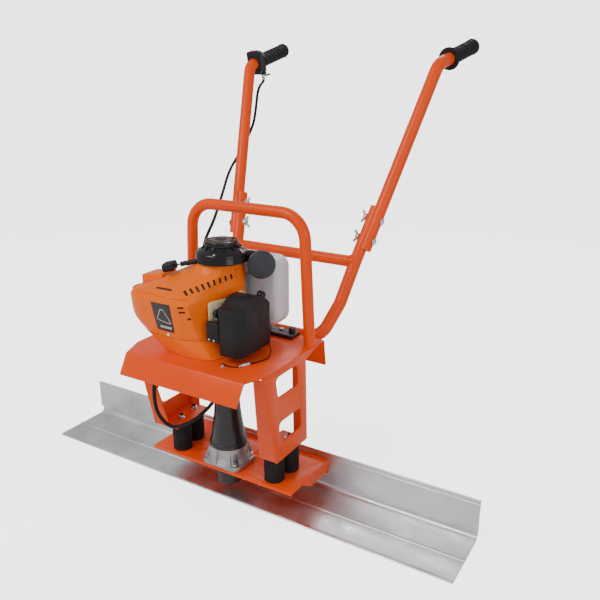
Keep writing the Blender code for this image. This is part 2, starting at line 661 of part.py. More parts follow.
def make_engine_shells():
    """Orange cover over the cylinder and the fan housing below it. Outlines run
    from the left rear corner round the front to the rear."""
    floor = [(-0.095, -0.060), (-0.112, -0.110), (-0.098, -0.146), (-0.055, -0.158), (0.000, -0.158),
             (0.038, -0.146), (0.050, -0.115), (0.0525, -0.085), (0.0525, -0.030), (0.045, 0.016),
             (-0.070, 0.016)]
    waist = [(-0.135, -0.060), (-0.160, -0.125), (-0.142, -0.158), (-0.092, -0.168), (-0.040, -0.168),
             (0.008, -0.152), (0.026, -0.122), (0.0425, -0.090), (0.0525, -0.035), (0.045, 0.016),
             (-0.080, 0.016)]
    split = 0.442
    shell = loft("fan_housing", [(DECK_SEAT + 0.0012, floor), (split, waist)], SHELL, 0.003)
    cut(shell, box("tank_clearance", (0.030, 0.0110, 0.39), (0.12, 0.03, 0.46), SHELL))
    lower = [(-0.138, -0.050)] + waist[1:9] + [(0.042, -0.022), (-0.100, -0.022)]
    belly = [(-0.165, -0.060), (-0.184, -0.135), (-0.160, -0.172), (-0.100, -0.178), (-0.038, -0.178),
             (0.003, -0.162), (0.021, -0.122), (0.0355, -0.088), (0.0520, -0.045), (0.043, -0.022),
             (-0.105, -0.022)]
    brow = [(-0.168, -0.070, 0.530), (-0.184, -0.146, 0.528), (-0.154, -0.186, 0.535),
            (-0.096, -0.192, 0.535),
            (-0.034, -0.192, 0.533), (0.003, -0.180, 0.530), (0.0185, -0.138, 0.540), (0.034, -0.095, 0.548),
            (0.053, -0.048, 0.556), (0.044, -0.022, 0.560), (-0.110, -0.022, 0.545)]
    lip = [(-0.160, -0.075, 0.545), (-0.176, -0.146, 0.541), (-0.150, -0.181, 0.548), (-0.096, -0.187, 0.549),
           (-0.036, -0.187, 0.547), (-0.002, -0.175, 0.545), (0.0150, -0.138, 0.555), (0.030, -0.095, 0.563),
           (0.049, -0.050, 0.572), (0.043, -0.022, 0.576), (-0.100, -0.022, 0.560)]
    hood = [(-0.072, -0.045, 0.588), (-0.080, -0.078, 0.586), (-0.066, -0.106, 0.584),
            (-0.040, -0.120, 0.583),
            (-0.010, -0.122, 0.582), (0.010, -0.116, 0.581), (0.024, -0.102, 0.583), (0.033, -0.082, 0.586),
            (0.046, -0.050, 0.592), (0.042, -0.023, 0.594), (-0.055, -0.023, 0.592)]
    neck = [(-0.053, -0.042), (-0.052, -0.066), (-0.043, -0.084), (-0.028, -0.097), (-0.010, -0.102),
            (0.008, -0.100), (0.022, -0.093), (0.031, -0.080), (0.045, -0.050), (0.041, -0.024),
            (-0.045, -0.024)]
    sections = [(split + 0.0015, lower), (0.480, belly), (0, brow), (0, lip), (0, hood),
                (STARTER_BASE - GAP, neck)]
    cover = loft("engine_cover", sections, SHELL, 0.003)
    ledge = [(-0.176, 0.536), (-0.112, 0.540), (-0.112, 0.575), (-0.176, 0.566)]
    weld(cover, prism("cover_ledge", ledge, -0.130, -0.078, SHELL, "Y"))
    cut(cover, box("crankcase_clearance", (-0.0345, -0.050, 0.43), (0.0345, 0.020, 0.5690), SHELL))
    cut(cover, rod("snout_clearance", ROPE_SEAT - ROPE_AXIS * 0.075, ROPE_SEAT, 0.0066, SHELL, 14))


def make_crank_train():
    """Crankshaft with flywheel and its clutch hub, and the clutch drum that
    drives the shaft to the exciter."""
    drum_low = 0.4046
    drum = [(0, drum_low), (0.036, drum_low), (0.038, drum_low + 0.002), (0.038, drum_low + 0.020),
            (0.0345, drum_low + 0.020), (0.0345, drum_low + 0.004), (0, drum_low + 0.004)]
    lathe("clutch_drum", drum, STEEL, AXIS, 32)
    wheel = [(0, 0.4105), (0.033, 0.4105), (0.033, 0.4235), (0.020, 0.4235), (0.020, 0.4350), (0.046, 0.4350),
             (0.046, 0.4400), (0.030, 0.4440), (0.020, 0.4560), (0, 0.4560)]
    lathe("flywheel", wheel, CAST, AXIS, 36)
    top = STARTER_BASE + 0.003
    lathe("crankshaft", [(0, 0.4563), (CRANK_R, 0.4563), (CRANK_R, top), (0, top)], STEEL, AXIS, 24)
    low = top + GAP
    pulley = [(0, low), (0.030, low), (0.030, low + 0.0020), (0.026, low + 0.0042), (0.030, low + 0.0064),
              (0.030, low + 0.0084), (0, low + 0.0084)]
    lathe("starter_pulley", pulley, BLACK, AXIS, 32)


def make_crankcase():
    """Crankcase with the finned cylinder reaching forward under the cover."""
    case = box("crankcase", (-0.033, -0.080, 0.465), (0.033, 0.0085, 0.5655), CAST)
    barrel = box("cylinder", (-0.036, -0.128, 0.482), (0.008, -0.070, 0.534), CAST)
    weld(case, barrel)
    for k in range(4):
        y = -0.125 + 0.010 * k
        weld(case, box("fin_%d" % k, (-0.0400, y, 0.476), (0.0120, y + 0.004, 0.540), CAST))
    bore = CRANK_R + GAP
    cut(case, lathe("crank_bore", [(0, 0.44), (bore, 0.44), (bore, 0.61), (0, 0.61)], CAST, AXIS, 24))


def make_starter():
    """Recoil starter: black housing, rope and T-shaped pull grip."""
    base = STARTER_BASE
    outer = [(0, base + 0.047), (0.036, base + 0.047), (0.0395, base + 0.044), (0.0400, base + 0.034),
             (0.045, base + 0.030), (0.055, base + 0.020), (0.057, base + 0.016), (0.058, base + 0.004),
             (0.060, base + 0.003), (0.060, base)]
    inner = [(0.054, base), (0.053, base + 0.015), (0.0375, base + 0.031), (0.0365, base + 0.042),
             (0, base + 0.044)]
    housing = lathe("starter_housing", outer + inner, BLACK, AXIS, 28)
    along = ROPE_AXIS
    snout = rod("starter_snout", ROPE_SEAT - along * 0.062, ROPE_SEAT - along * 0.014, 0.0058, BLACK, 14)
    weld(housing, snout)
    cut(housing, rod("rope_hole", ROPE_SEAT - along * 0.095, ROPE_SEAT - along * 0.005, 0.0026, BLACK))
    rod("starter_rope", ROPE_SEAT - along * 0.080, ROPE_SEAT, 0.0018, BLACK, 10)
    outline = rounded([(-0.019, -0.010), (0.019, -0.010), (0.019, 0.010), (-0.019, 0.010)], 0.006, 2)
    place("starter_grip", prism_mesh(outline, GAP, 0.026), BLACK, level(ROPE_SEAT, along), smooth=False)


def make_tank():
    """Blow-moulded fuel tank behind the engine, with a slanted filler neck
    and a screw cap."""
    outline = rounded([(-0.090, 0.438), (0.104, 0.438), (0.104, 0.604), (-0.090, 0.604)], 0.024, 3)
    tank = prism("fuel_tank", outline, 0.018, 0.080, TANK, "Y")
    mod = tank.modifiers.new("edges", "BEVEL")
    mod.width = 0.010
    mod.segments = 2
    mod.limit_method = "ANGLE"
    mod.angle_limit = math.radians(60)
    seat = Vector((0.063, 0.020, 0.590))
    neck = rod("tank_neck", seat - CAP_AXIS * 0.02, seat + CAP_AXIS * 0.036, 0.020, TANK, 20)
    weld(tank, neck)
    start = seat + CAP_AXIS * (0.036 + GAP)
    profile = [(0, 0), (0.0315, 0), (0.0325, 0.002), (0.0325, 0.012), (0.030, 0.015), (0.012, 0.0165),
               (0, 0.0165)]
    cap = lathe("fuel_cap", profile, BLACK, level(start, CAP_AXIS), 32)
    cut(cap,
        box("cap_rib_space", (-0.0032, -0.05, 0.0150), (0.0032, 0.05, 0.0154), BLACK, level(start, CAP_AXIS)))
    bracket = box("tank_bracket", (0.026, 0.052, DECK_SEAT), (0.122, 0.092, 0.409), BLACK)
    weld(bracket, box("tank_bracket_post", (0.026, 0.052, 0.404), (0.050, 0.076, 0.438 - GAP), BLACK))


def make_intake():
    """Insulator plate, carburettor, air cleaner with its cover, and the
    choke knob."""
    across = Vector((SIDE_RUN.y, -SIDE_RUN.x, 0.0))
    seat = level(INTAKE_SEAT, across)
    plate = rounded([(-0.025, -0.0275), (0.025, -0.0275), (0.025, 0.0275), (-0.025, 0.0275)], 0.006, 2)
    place("insulator", prism_mesh(plate, 0, 0.005), CREAM, seat, smooth=False)
    box("carburettor", (-0.015, -0.022, 0.0053), (0.015, 0.018, 0.0190), CAST, seat)
    outline = rounded([(-0.150, 0.420), (-0.024, 0.420), (-0.024, 0.512), (-0.045, 0.530), (-0.090, 0.547),
                       (-0.125, 0.544), (-0.150, 0.529)], 0.006, 2)
    cover = prism("air_cleaner_cover", outline, 0.057, 0.118, BLACK, "X")
    mod = cover.modifiers.new("edges", "BEVEL")
    mod.width = 0.005
    mod.segments = 2
    mod.limit_method = "ANGLE"
    mod.angle_limit = math.radians(60)
    knob = [(0, 0), (0.004, 0), (0.004, 0.006), (0.0095, 0.0062), (0.0105, 0.008), (0.0100, 0.017),
            (0.008, 0.019),
            (0, 0.019)]
    lathe("choke_knob", knob, BLACK, aim(CHOKE_SEAT, CHOKE_AXIS), 20)


def make_cables(frame):
    """Throttle cable and switch leads, clipped along the left handle and led
    under the deck to the engine."""
    start = frame @ Vector((-0.0385, 0.0100, 0.0180))
    below = frame @ Vector((-0.0540, 0.0100, 0.0165))
    sleeve = [start, below, (-0.2560, 0.478, 0.960), (-0.2505, 0.442, 0.870), (-0.264, 0.394, 0.795),
              (-0.258, 0.330, 0.744), (-0.200, 0.218, 0.700), (-0.152, 0.120, 0.656), (-0.124, 0.045, 0.616),
              (-0.106, 0.010, 0.575), (-0.094, 0.004, 0.530), (-0.080, -0.004, 0.500)]
    sweep("throttle_cable", smooth_path(sleeve, 3), 0.0040, RUBBER, 8)
    loop = [(-0.120, -0.112, DECK_UNDER - 0.001), (-0.120, -0.112, 0.375), (-0.137, -0.138, 0.340),
            (-0.142, -0.150, 0.290), (-0.136, -0.151, 0.230), (-0.104, -0.147, 0.199),
            (-0.068, -0.141, 0.206),
            (-0.030, -0.128, 0.232), (0.004, -0.108, 0.275), (0.026, -0.100, 0.335), (0.030, -0.098, 0.375),
            (0.030, -0.098, DECK_UNDER - 0.001)]
    sweep("under_deck_cable", smooth_path(loop, 3), 0.0045, RUBBER, 8)


def build():
    make_blade()
    make_base_plate()
    make_gearbox()
    make_exciter()
    make_drive_tube()
    make_isolators()
    make_leg("left_leg", -1)
    make_leg("right_leg", 1)
    make_deck()
    make_hoop()
    make_rear_frame()
    make_handle("left_handle", -1)
    make_handle("right_handle", 1)
    make_grip("left_grip", -1)
    make_grip("right_grip", 1)
    frame = make_controls()
    make_lever(frame)
    make_engine_shells()
    make_crank_train()
    make_crankcase()
    make_starter()
    make_tank()
    make_intake()
    make_cables(frame)


build()
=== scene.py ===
"""Looks of a walk-behind power screed: camera, light, and every piece in the
order the machine is put together. Metres, +Z up, the operator on the +Y side."""
import json
import math

import bmesh
import bpy
from mathutils import Matrix, Vector
from mathutils.bvhtree import BVHTree

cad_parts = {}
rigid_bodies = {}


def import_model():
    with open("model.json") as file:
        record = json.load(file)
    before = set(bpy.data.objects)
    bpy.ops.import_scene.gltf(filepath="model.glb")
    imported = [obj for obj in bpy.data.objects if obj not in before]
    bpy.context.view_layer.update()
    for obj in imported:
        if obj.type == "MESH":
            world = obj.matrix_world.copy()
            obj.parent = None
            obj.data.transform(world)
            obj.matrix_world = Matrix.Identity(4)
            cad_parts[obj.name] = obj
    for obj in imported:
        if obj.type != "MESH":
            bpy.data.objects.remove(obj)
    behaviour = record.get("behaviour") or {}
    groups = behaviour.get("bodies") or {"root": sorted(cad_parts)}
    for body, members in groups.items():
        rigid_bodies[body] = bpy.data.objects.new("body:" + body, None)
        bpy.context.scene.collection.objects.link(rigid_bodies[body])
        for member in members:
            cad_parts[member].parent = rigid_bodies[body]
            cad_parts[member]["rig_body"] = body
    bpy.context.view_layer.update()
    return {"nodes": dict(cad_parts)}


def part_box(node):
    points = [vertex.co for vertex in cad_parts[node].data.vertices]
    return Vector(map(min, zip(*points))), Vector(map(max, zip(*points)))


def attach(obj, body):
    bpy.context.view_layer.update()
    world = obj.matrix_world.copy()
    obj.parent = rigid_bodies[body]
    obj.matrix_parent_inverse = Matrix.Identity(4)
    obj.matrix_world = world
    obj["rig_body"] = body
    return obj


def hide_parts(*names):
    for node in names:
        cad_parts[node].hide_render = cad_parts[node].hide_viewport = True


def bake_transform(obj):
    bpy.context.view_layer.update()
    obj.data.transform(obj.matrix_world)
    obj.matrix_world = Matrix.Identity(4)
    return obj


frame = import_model()
nodes = frame["nodes"]
scene = bpy.context.scene

# ------------------------------------------------------------------- camera
camera = bpy.data.objects.new("camera", bpy.data.cameras.new("camera"))
scene.collection.objects.link(camera)
camera.location = (0.92516, -1.23287, 1.00522)
camera.rotation_euler = (math.radians(90 - 18.394), 0, math.radians(31.237))
camera.data.lens = 40.65
camera.data.sensor_width = 36
scene.camera = camera

# ---------------------------------------------------------- floor and lights
# A plain studio: white surround, one broad key light high on the front left,
# a fill on the right and a strip from behind. The surround looks brighter to
# the camera than it lights the machine, so the orange stays deep.
light_given, light_seen = 0.60, 3.25
world = bpy.data.worlds.new("studio")
scene.world = world
world.use_nodes = True
background = world.node_tree.nodes["Background"]
background.inputs["Color"].default_value = (1.0, 1.0, 1.0, 1)
eye = world.node_tree.nodes.new("ShaderNodeLightPath")
surround = world.node_tree.nodes.new("ShaderNodeMix")
surround.inputs["A"].default_value = light_given
surround.inputs["B"].default_value = light_seen
world.node_tree.links.new(eye.outputs["Is Camera Ray"], surround.inputs["Factor"])
world.node_tree.links.new(surround.outputs["Result"], background.inputs["Strength"])


def lamp(name, place, target, size, power):
    data = bpy.data.lights.new(name, "AREA")
    data.shape = "RECTANGLE"
    data.size, data.size_y = size
    data.energy = power
    obj = bpy.data.objects.new(name, data)
    scene.collection.objects.link(obj)
    obj.location = place
    obj.rotation_euler = (Vector(target) - Vector(place)).to_track_quat("-Z", "Y").to_euler()


lamp("key", (-0.9, -2.0, 2.7), (0, 0, 0.4), (1.6, 1.2), 52)
lamp("fill", (2.6, -0.9, 1.5), (0, 0, 0.5), (1.4, 1.4), 14)
lamp("back_strip", (-0.6, 2.4, 2.2), (0, 0, 0.5), (2.0, 0.5), 18)


# ------------------------------------------------------------ surface effects
# One node group that the coated, cast, plated, rubber and plastic parts share:
# a moulded or sprayed grain, patchy colour and uneven gloss. The finishes that
# several pieces use follow it; a finish for one piece is in its own section.
def effect(name, inputs, outputs):
    group = bpy.data.node_groups.new(name, "ShaderNodeTree")
    for label, kind, value in inputs:
        group.interface.new_socket(label, in_out="INPUT", socket_type=kind).default_value = value
    for label, kind in outputs:
        group.interface.new_socket(label, in_out="OUTPUT", socket_type=kind)
    return group, group.nodes.new("NodeGroupInput"), group.nodes.new("NodeGroupOutput")


def noise(tree, scale, detail, vector=None):
    node = tree.nodes.new("ShaderNodeTexNoise")
    node.inputs["Detail"].default_value = detail
    if isinstance(scale, (int, float)):
        node.inputs["Scale"].default_value = scale
    else:
        tree.links.new(scale, node.inputs["Scale"])
    if vector is not None:
        tree.links.new(vector, node.inputs["Vector"])
    return node.outputs["Fac"]


def spread(tree, value, low, high):
    """Map a 0.3 to 0.7 noise value to a range given by numbers or sockets."""
    node = tree.nodes.new("ShaderNodeMapRange")
    tree.links.new(value, node.inputs["Value"])
    node.inputs["From Min"].default_value = 0.3
    node.inputs["From Max"].default_value = 0.7
    for label, end in (("To Min", low), ("To Max", high)):
        if isinstance(end, (int, float)):
            node.inputs[label].default_value = end
        else:
            tree.links.new(end, node.inputs[label])
    return node.outputs["Result"]


def grain_effect():
    number, colour = "NodeSocketFloat", "NodeSocketColor"
    group, given, made = effect(
        "sprayed_grain",
        [("Light", colour, (1, 1, 1, 1)), ("Dark", colour, (0, 0, 0, 1)), ("Smooth", number, 0.3),
         ("Rough", number, 0.5), ("Grain Scale", number, 600), ("Grain Depth", number, 0.0001),
         ("Patch Scale", number, 12)],
        [("Colour", colour), ("Roughness", number), ("Normal", "NodeSocketVector")])
    place = group.nodes.new("ShaderNodeTexCoord").outputs["Object"]
    patches = noise(group, given.outputs["Patch Scale"], 4, place)
    mix = group.nodes.new("ShaderNodeMix")
    mix.data_type = "RGBA"
    group.links.new(spread(group, patches, 0.0, 1.0), mix.inputs["Factor"])
    group.links.new(given.outputs["Dark"], mix.inputs[6])
    group.links.new(given.outputs["Light"], mix.inputs[7])
    group.links.new(mix.outputs[2], made.inputs["Colour"])
    wear = noise(group, 45, 6, place)
    group.links.new(spread(group, wear, given.outputs["Smooth"], given.outputs["Rough"]),
                    made.inputs["Roughness"])
    bump = group.nodes.new("ShaderNodeBump")
    group.links.new(noise(group, given.outputs["Grain Scale"], 3, place), bump.inputs["Height"])
    group.links.new(given.outputs["Grain Depth"], bump.inputs["Distance"])
    group.links.new(bump.outputs["Normal"], made.inputs["Normal"])
    return group


def skinned(name, group, settings, metallic):
    """A material whose colour, gloss and relief come from a surface effect."""
    mat = bpy.data.materials.new(name)
    mat.use_nodes = True
    tree = mat.node_tree
    shader = tree.nodes["Principled BSDF"]
    shader.inputs["Metallic"].default_value = metallic
    skin = tree.nodes.new("ShaderNodeGroup")
    skin.node_tree = group
    for label, value in settings:
        skin.inputs[label].default_value = value
    for label, socket in (("Colour", "Base Color"), ("Roughness", "Roughness"), ("Normal", "Normal")):
        tree.links.new(skin.outputs[label], shader.inputs[socket])
    return mat, shader


GRAIN = grain_effect()


def finish(name, light, dark, smooth, rough, grain=(600, 0.0001), patch=12, metallic=0.0, coat=0.0,
           specular=0.5):
    """A material with uneven colour and gloss and a fine surface grain."""
    settings = [("Light", (*light, 1)), ("Dark", (*dark, 1)), ("Smooth", smooth), ("Rough", rough),
                ("Grain Scale", grain[0]), ("Grain Depth", grain[1]), ("Patch Scale", patch)]
    mat, shader = skinned(name, GRAIN, settings, metallic)
    shader.inputs["Coat Weight"].default_value = coat
    shader.inputs["Coat Roughness"].default_value = 0.12
    shader.inputs["Specular IOR Level"].default_value = specular
    return mat


powder_coat = finish("orange_powder_coat", (0.90, 0.078, 0.000), (0.82, 0.064, 0.000), 0.26, 0.40,
                     (420, 0.00025), 7, coat=0.05, specular=0.2)
cast_grey = finish("cast_aluminium", (0.50, 0.50, 0.51), (0.36, 0.36, 0.37), 0.38, 0.60, (700, 0.0005), 30,
                   metallic=0.85)
zinc = finish("zinc_plate", (0.78, 0.78, 0.79), (0.60, 0.60, 0.62), 0.18, 0.36, (500, 0.0001), 60,
              metallic=1.0)
dark_steel = finish("machined_steel", (0.36, 0.36, 0.37), (0.26, 0.26, 0.27), 0.22, 0.42, (900, 0.0001), 40,
                    metallic=1.0)
rubber = finish("black_rubber", (0.014, 0.014, 0.015), (0.008, 0.008, 0.009), 0.55, 0.80, (1400, 0.0003), 25,
                specular=0.25)
black_grain = finish("grained_black_plastic", (0.013, 0.013, 0.015), (0.008, 0.008, 0.010), 0.40, 0.58,
                     (1500, 0.0003), 20, specular=0.30)
black_gloss = finish("gloss_black_plastic", (0.010, 0.010, 0.011), (0.006, 0.006, 0.007), 0.10, 0.24,
                     (300, 0.0001), 20, specular=0.35)
black_paint = finish("satin_black_paint", (0.018, 0.018, 0.019), (0.011, 0.011, 0.012), 0.24, 0.40,
                     (500, 0.0002), 10, coat=0.2)


# --------------------------------------------------------------------- blade
# Folded aluminium blade: flat sole with one stiffening rib, an 18 mm bend and
# an upright flange. Mill finish, drawn along its length and handled with wet
# gloves. The flange is bolted to the base plate.
def streak_effect():
    number, colour = "NodeSocketFloat", "NodeSocketColor"
    group, given, made = effect(
        "drawn_streaks", [("Light", colour, (1, 1, 1, 1)), ("Dark", colour, (0, 0, 0, 1))],
        [("Colour", colour), ("Roughness", number), ("Normal", "NodeSocketVector")])
    place = group.nodes.new("ShaderNodeTexCoord").outputs["Object"]
    stretch = group.nodes.new("ShaderNodeMapping")
    stretch.inputs["Scale"].default_value = (3, 160, 160)
    group.links.new(place, stretch.inputs["Vector"])
    lines = noise(group, 5, 5, stretch.outputs["Vector"])
    smudge = noise(group, 14, 6, place)
    speck = noise(group, 160, 3, place)
    blendin = group.nodes.new("ShaderNodeMath")
    blendin.operation = "MULTIPLY_ADD"
    group.links.new(spread(group, lines, 0.0, 0.45), blendin.inputs[0])
    blendin.inputs[1].default_value = 1.0
    group.links.new(spread(group, smudge, 0.0, 0.55), blendin.inputs[2])
    mix = group.nodes.new("ShaderNodeMix")
    mix.data_type = "RGBA"
    group.links.new(blendin.outputs[0], mix.inputs["Factor"])
    group.links.new(given.outputs["Dark"], mix.inputs[6])
    group.links.new(given.outputs["Light"], mix.inputs[7])
    group.links.new(mix.outputs[2], made.inputs["Colour"])
    gloss = group.nodes.new("ShaderNodeMath")
    gloss.operation = "ADD"
    group.links.new(spread(group, smudge, 0.24, 0.46), gloss.inputs[0])
    group.links.new(spread(group, speck, 0.0, 0.10), gloss.inputs[1])
    group.links.new(gloss.outputs[0], made.inputs["Roughness"])
    bump = group.nodes.new("ShaderNodeBump")
    bump.inputs["Distance"].default_value = 0.00012
    group.links.new(lines, bump.inputs["Height"])
    group.links.new(bump.outputs["Normal"], made.inputs["Normal"])
    return group


streak_colours = [("Light", (0.80, 0.80, 0.82, 1)), ("Dark", (0.60, 0.61, 0.63, 1))]
aluminium = skinned("mill_aluminium", streak_effect(), streak_colours, metallic=1.0)[0]


def settle(obj):
    """Apply an object's modifiers to its mesh."""
    bpy.context.view_layer.update()
    graph = bpy.context.evaluated_depsgraph_get()
    mesh = bpy.data.meshes.new_from_object(obj.evaluated_get(graph))
    obj.modifiers.clear()
    obj.data = mesh
    return obj


def break_edges(obj, width, segments, angle):
    """Bevel the edges that turn more than an angle in degrees."""
    mod = obj.modifiers.new("edges", "BEVEL")
    mod.width = width
    mod.segments = segments
    mod.limit_method = "ANGLE"
    mod.angle_limit = math.radians(angle)
    settle(obj)


def piece(name, bm, mat, body="machine", stands_for=(), slot=None, edges=0.0, sharp=35, angle=30, steps=2):
    """A finished mesh piece that rides on a body: bevelled edges, smooth where
    the faces turn gently."""
    bmesh.ops.recalc_face_normals(bm, faces=bm.faces)
    mesh = bpy.data.meshes.new(name)
    bm.to_mesh(mesh)
    bm.free()
    mesh.materials.append(mat)
    obj = bpy.data.objects.new(name, mesh)
    scene.collection.objects.link(obj)
    if edges:
        break_edges(obj, edges, steps, angle)
    obj.data.shade_smooth()
    obj.data.set_sharp_from_angle(angle=math.radians(sharp))
    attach(obj, body)
    if stands_for:
        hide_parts(*stands_for)
    return obj


def prism(outline, low, high, axis="Z", matrix=None):
    """Extruded outline: pairs are (x, y) for Z, (y, z) for X, (x, z) for Y."""
    bm = bmesh.new()
    ends = []
    for height in (low, high):
        ring = []
        for a, b in outline:
            point = {"Z": (a, b, height), "X": (height, a, b), "Y": (a, height, b)}[axis]
            ring.append(bm.verts.new(point))
        ends.append(ring)
    skin_over(bm, ends)
    if matrix is not None:
        bm.transform(matrix)
    return bm


def bridge(bm, lower, upper):
    count = len(lower)
    for k in range(count):
        n = (k + 1) % count
        bm.faces.new((lower[k], lower[n], upper[n], upper[k]))


def skin_over(bm, rings):
    """Faces along a row of vertex rings, and one over each end."""
    for lower, upper in zip(rings, rings[1:]):
        bridge(bm, lower, upper)
    bm.faces.new(rings[0])
    bm.faces.new(rings[-1])
    return bm


def rectangle(low, high):
    """Outline of the upright rectangle between two corners."""
    return [(low[0], low[1]), (high[0], low[1]), (high[0], high[1]), (low[0], high[1])]


def rounded(outline, radius, steps=6):
    """Round the corners of an outline; radius is one number or one a corner."""
    result = []
    count = len(outline)
    for i in range(count):
        r = radius if isinstance(radius, (int, float)) else radius[i]
        corner = Vector(outline[i])
        if r == 0:
            result.append(tuple(corner))
            continue
        before = (Vector(outline[i - 1]) - corner).normalized()
        after = (Vector(outline[(i + 1) % count]) - corner).normalized()
        half = before.angle(after) / 2
        centre = corner + (before + after).normalized() * r / math.sin(half)
        start = corner + before * r / math.tan(half) - centre
        end = corner + after * r / math.tan(half) - centre
        for k in range(steps + 1):
            result.append(tuple(centre + start.lerp(end, k / steps).normalized() * r))
    return result


def carve(obj, *cutters):
    """Cut closed bmeshes out of a piece."""
    for index, bm in enumerate(cutters):
        bmesh.ops.recalc_face_normals(bm, faces=bm.faces)
        mesh = bpy.data.meshes.new("cutter")
        bm.to_mesh(mesh)
        bm.free()
        tool = bpy.data.objects.new("cutter_%d" % index, mesh)
        scene.collection.objects.link(tool)
        mod = obj.modifiers.new("cut", "BOOLEAN")
        mod.operation = "DIFFERENCE"
        mod.solver = "EXACT"
        mod.object = tool
        settle(obj)
        bpy.data.objects.remove(tool)
    obj.data.set_sharp_from_angle(angle=math.radians(35))
    return obj


def round_bar(start, end, radius, count=24):
    """Closed cylinder between two points."""
    start, end = Vector(start), Vector(end)
    bm = bmesh.new()
    turn = (end - start).to_track_quat("Z", "Y").to_matrix().to_4x4()
    matrix = Matrix.Translation((start + end) / 2) @ turn
    bmesh.ops.create_cone(bm, cap_ends=True, segments=count, radius1=radius, radius2=radius,
                          depth=(end - start).length, matrix=matrix)
    return bm


def block(low, high, matrix=None):
    return prism(rectangle(low, high), low[2], high[2], "Z", matrix)


bolt_hole = 0.0044


def make_blade():
    """One folded strip from its side view, with its two bolt holes."""
    low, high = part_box("blade")
    wall, bend, rib = 0.004, 0.018, -0.007
    front, back, top = low.y, high.y, high.z
    outline = [(front, 0.0), (front, 0.0014), (front + 0.0012, 0.0026), (front + 0.007, wall)]
    outline += [(rib - 0.0045, wall), (rib - 0.0030, wall + 0.0012), (rib - 0.0012, wall + 0.0024),
                (rib + 0.0012, wall + 0.0024), (rib + 0.0030, wall + 0.0012), (rib + 0.0045, wall)]
    for k in range(11):
        angle = math.radians(-90 + 9 * k)
        outline.append((back - bend + (bend - wall) * math.cos(angle),
                        bend + (bend - wall) * math.sin(angle)))
    lip = top - 0.014
    outline += [(back - wall, lip), (back - wall - 0.0008, lip + 0.0010),
                (back - wall - 0.0008, lip + 0.0024), (back - wall, lip + 0.0034),
                (back - wall, top - 0.0006), (back - wall + 0.0006, top), (back - 0.0006, top),
                (back, top - 0.0006)]
    for k in range(11):
        angle = math.radians(-9 * k)
        outline.append((back - bend + bend * math.cos(angle), bend + bend * math.sin(angle)))
    blade = piece("screed_blade", prism(outline, low.x, high.x, "X"), aluminium, stands_for=["blade"],
                  slot="blade_alloy", sharp=28)
    carve(blade, block((low.x - 0.01, front - 0.01, -0.01), (low.x + 0.009, back + 0.01, 0.020)))
    for x in (-0.120, 0.120):
        carve(blade, round_bar((x, back - 0.02, 0.066), (x, back + 0.02, 0.066), bolt_hole))


make_blade()


# ---------------------------------------------------------------- base plate
# Folded 4 mm steel plate, powder coated: flat top, a rear flap against the
# blade's flange and a tapered flap at each end. Two bolts hold it to the blade.
def dressed(name, node, mat, width=0.0006, body="machine", slot=None, steps=2, angle=30):
    """The node's own shape with its edges broken, as a finished piece."""
    bm = bmesh.new()
    bm.from_mesh(nodes[node].data)
    bmesh.ops.remove_doubles(bm, verts=bm.verts, dist=0.00001)
    bmesh.ops.dissolve_limit(bm, angle_limit=math.radians(1.5), verts=bm.verts, edges=bm.edges)
    return piece(name, bm, mat, body, [node], slot, edges=width, steps=steps, angle=angle)


dressed("base_plate_skin", "base_plate", powder_coat, 0.0007, slot="orange_paint")


def washer(name, place, direction, outer, inner, height, mat, body="machine"):
    profile = [(inner, 0), (outer - 0.0003, 0), (outer, 0.0003), (outer, height - 0.0003),
               (outer - 0.0003, height), (inner, height)]
    return turned(name, profile, mat, body, towards(place, direction), 28, ring=True)


def towards(place, direction, up=(0, 0, 1)):
    """Matrix at a place with local Z along a direction."""
    z = Vector(direction).normalized()
    x = Vector(up).cross(z)
    x = x.normalized() if x.length > 1e-4 else z.orthogonal().normalized()
    turn = Matrix((x, z.cross(x), z)).transposed()
    return Matrix.Translation(place) @ turn.to_4x4()


def lathe(profile, matrix=None, count=48, ring=False):
    """Closed bmesh from (radius, height) pairs spun about local Z."""
    bm = bmesh.new()
    rows = []
    for radius, height in profile:
        if radius < 1e-7:
            rows.append([bm.verts.new((0, 0, height))])
            continue
        rows.append([bm.verts.new((radius * math.cos(math.tau * k / count),
                                   radius * math.sin(math.tau * k / count), height)) for k in range(count)])
    pairs = list(zip(rows, rows[1:]))
    if ring:
        pairs.append((rows[-1], rows[0]))
    for lower, upper in pairs:
        for k in range(count):
            n = (k + 1) % count
            around = [lower[k % len(lower)], lower[n % len(lower)], upper[n % len(upper)],
                      upper[k % len(upper)]]
            around = list(dict.fromkeys(around))
            if len(around) > 2:
                bm.faces.new(around)
    if matrix is not None:
        bm.transform(matrix)
    return bm


def turned(name, profile, mat, body="machine", matrix=None, count=48, ring=False, edges=0.0, **extra):
    return piece(name, lathe(profile, matrix, count, ring), mat, body, edges=edges, **extra)


def nut(name, place, direction, radius, height, mat, body="machine"):
    """Hexagon nut or bolt head with chamfered corners."""
    outline = [(radius * math.cos(math.tau * k / 6), radius * math.sin(math.tau * k / 6)) for k in range(6)]
    return piece(name, prism(outline, 0, height, "Z", towards(place, direction)), mat, body, edges=0.0007)


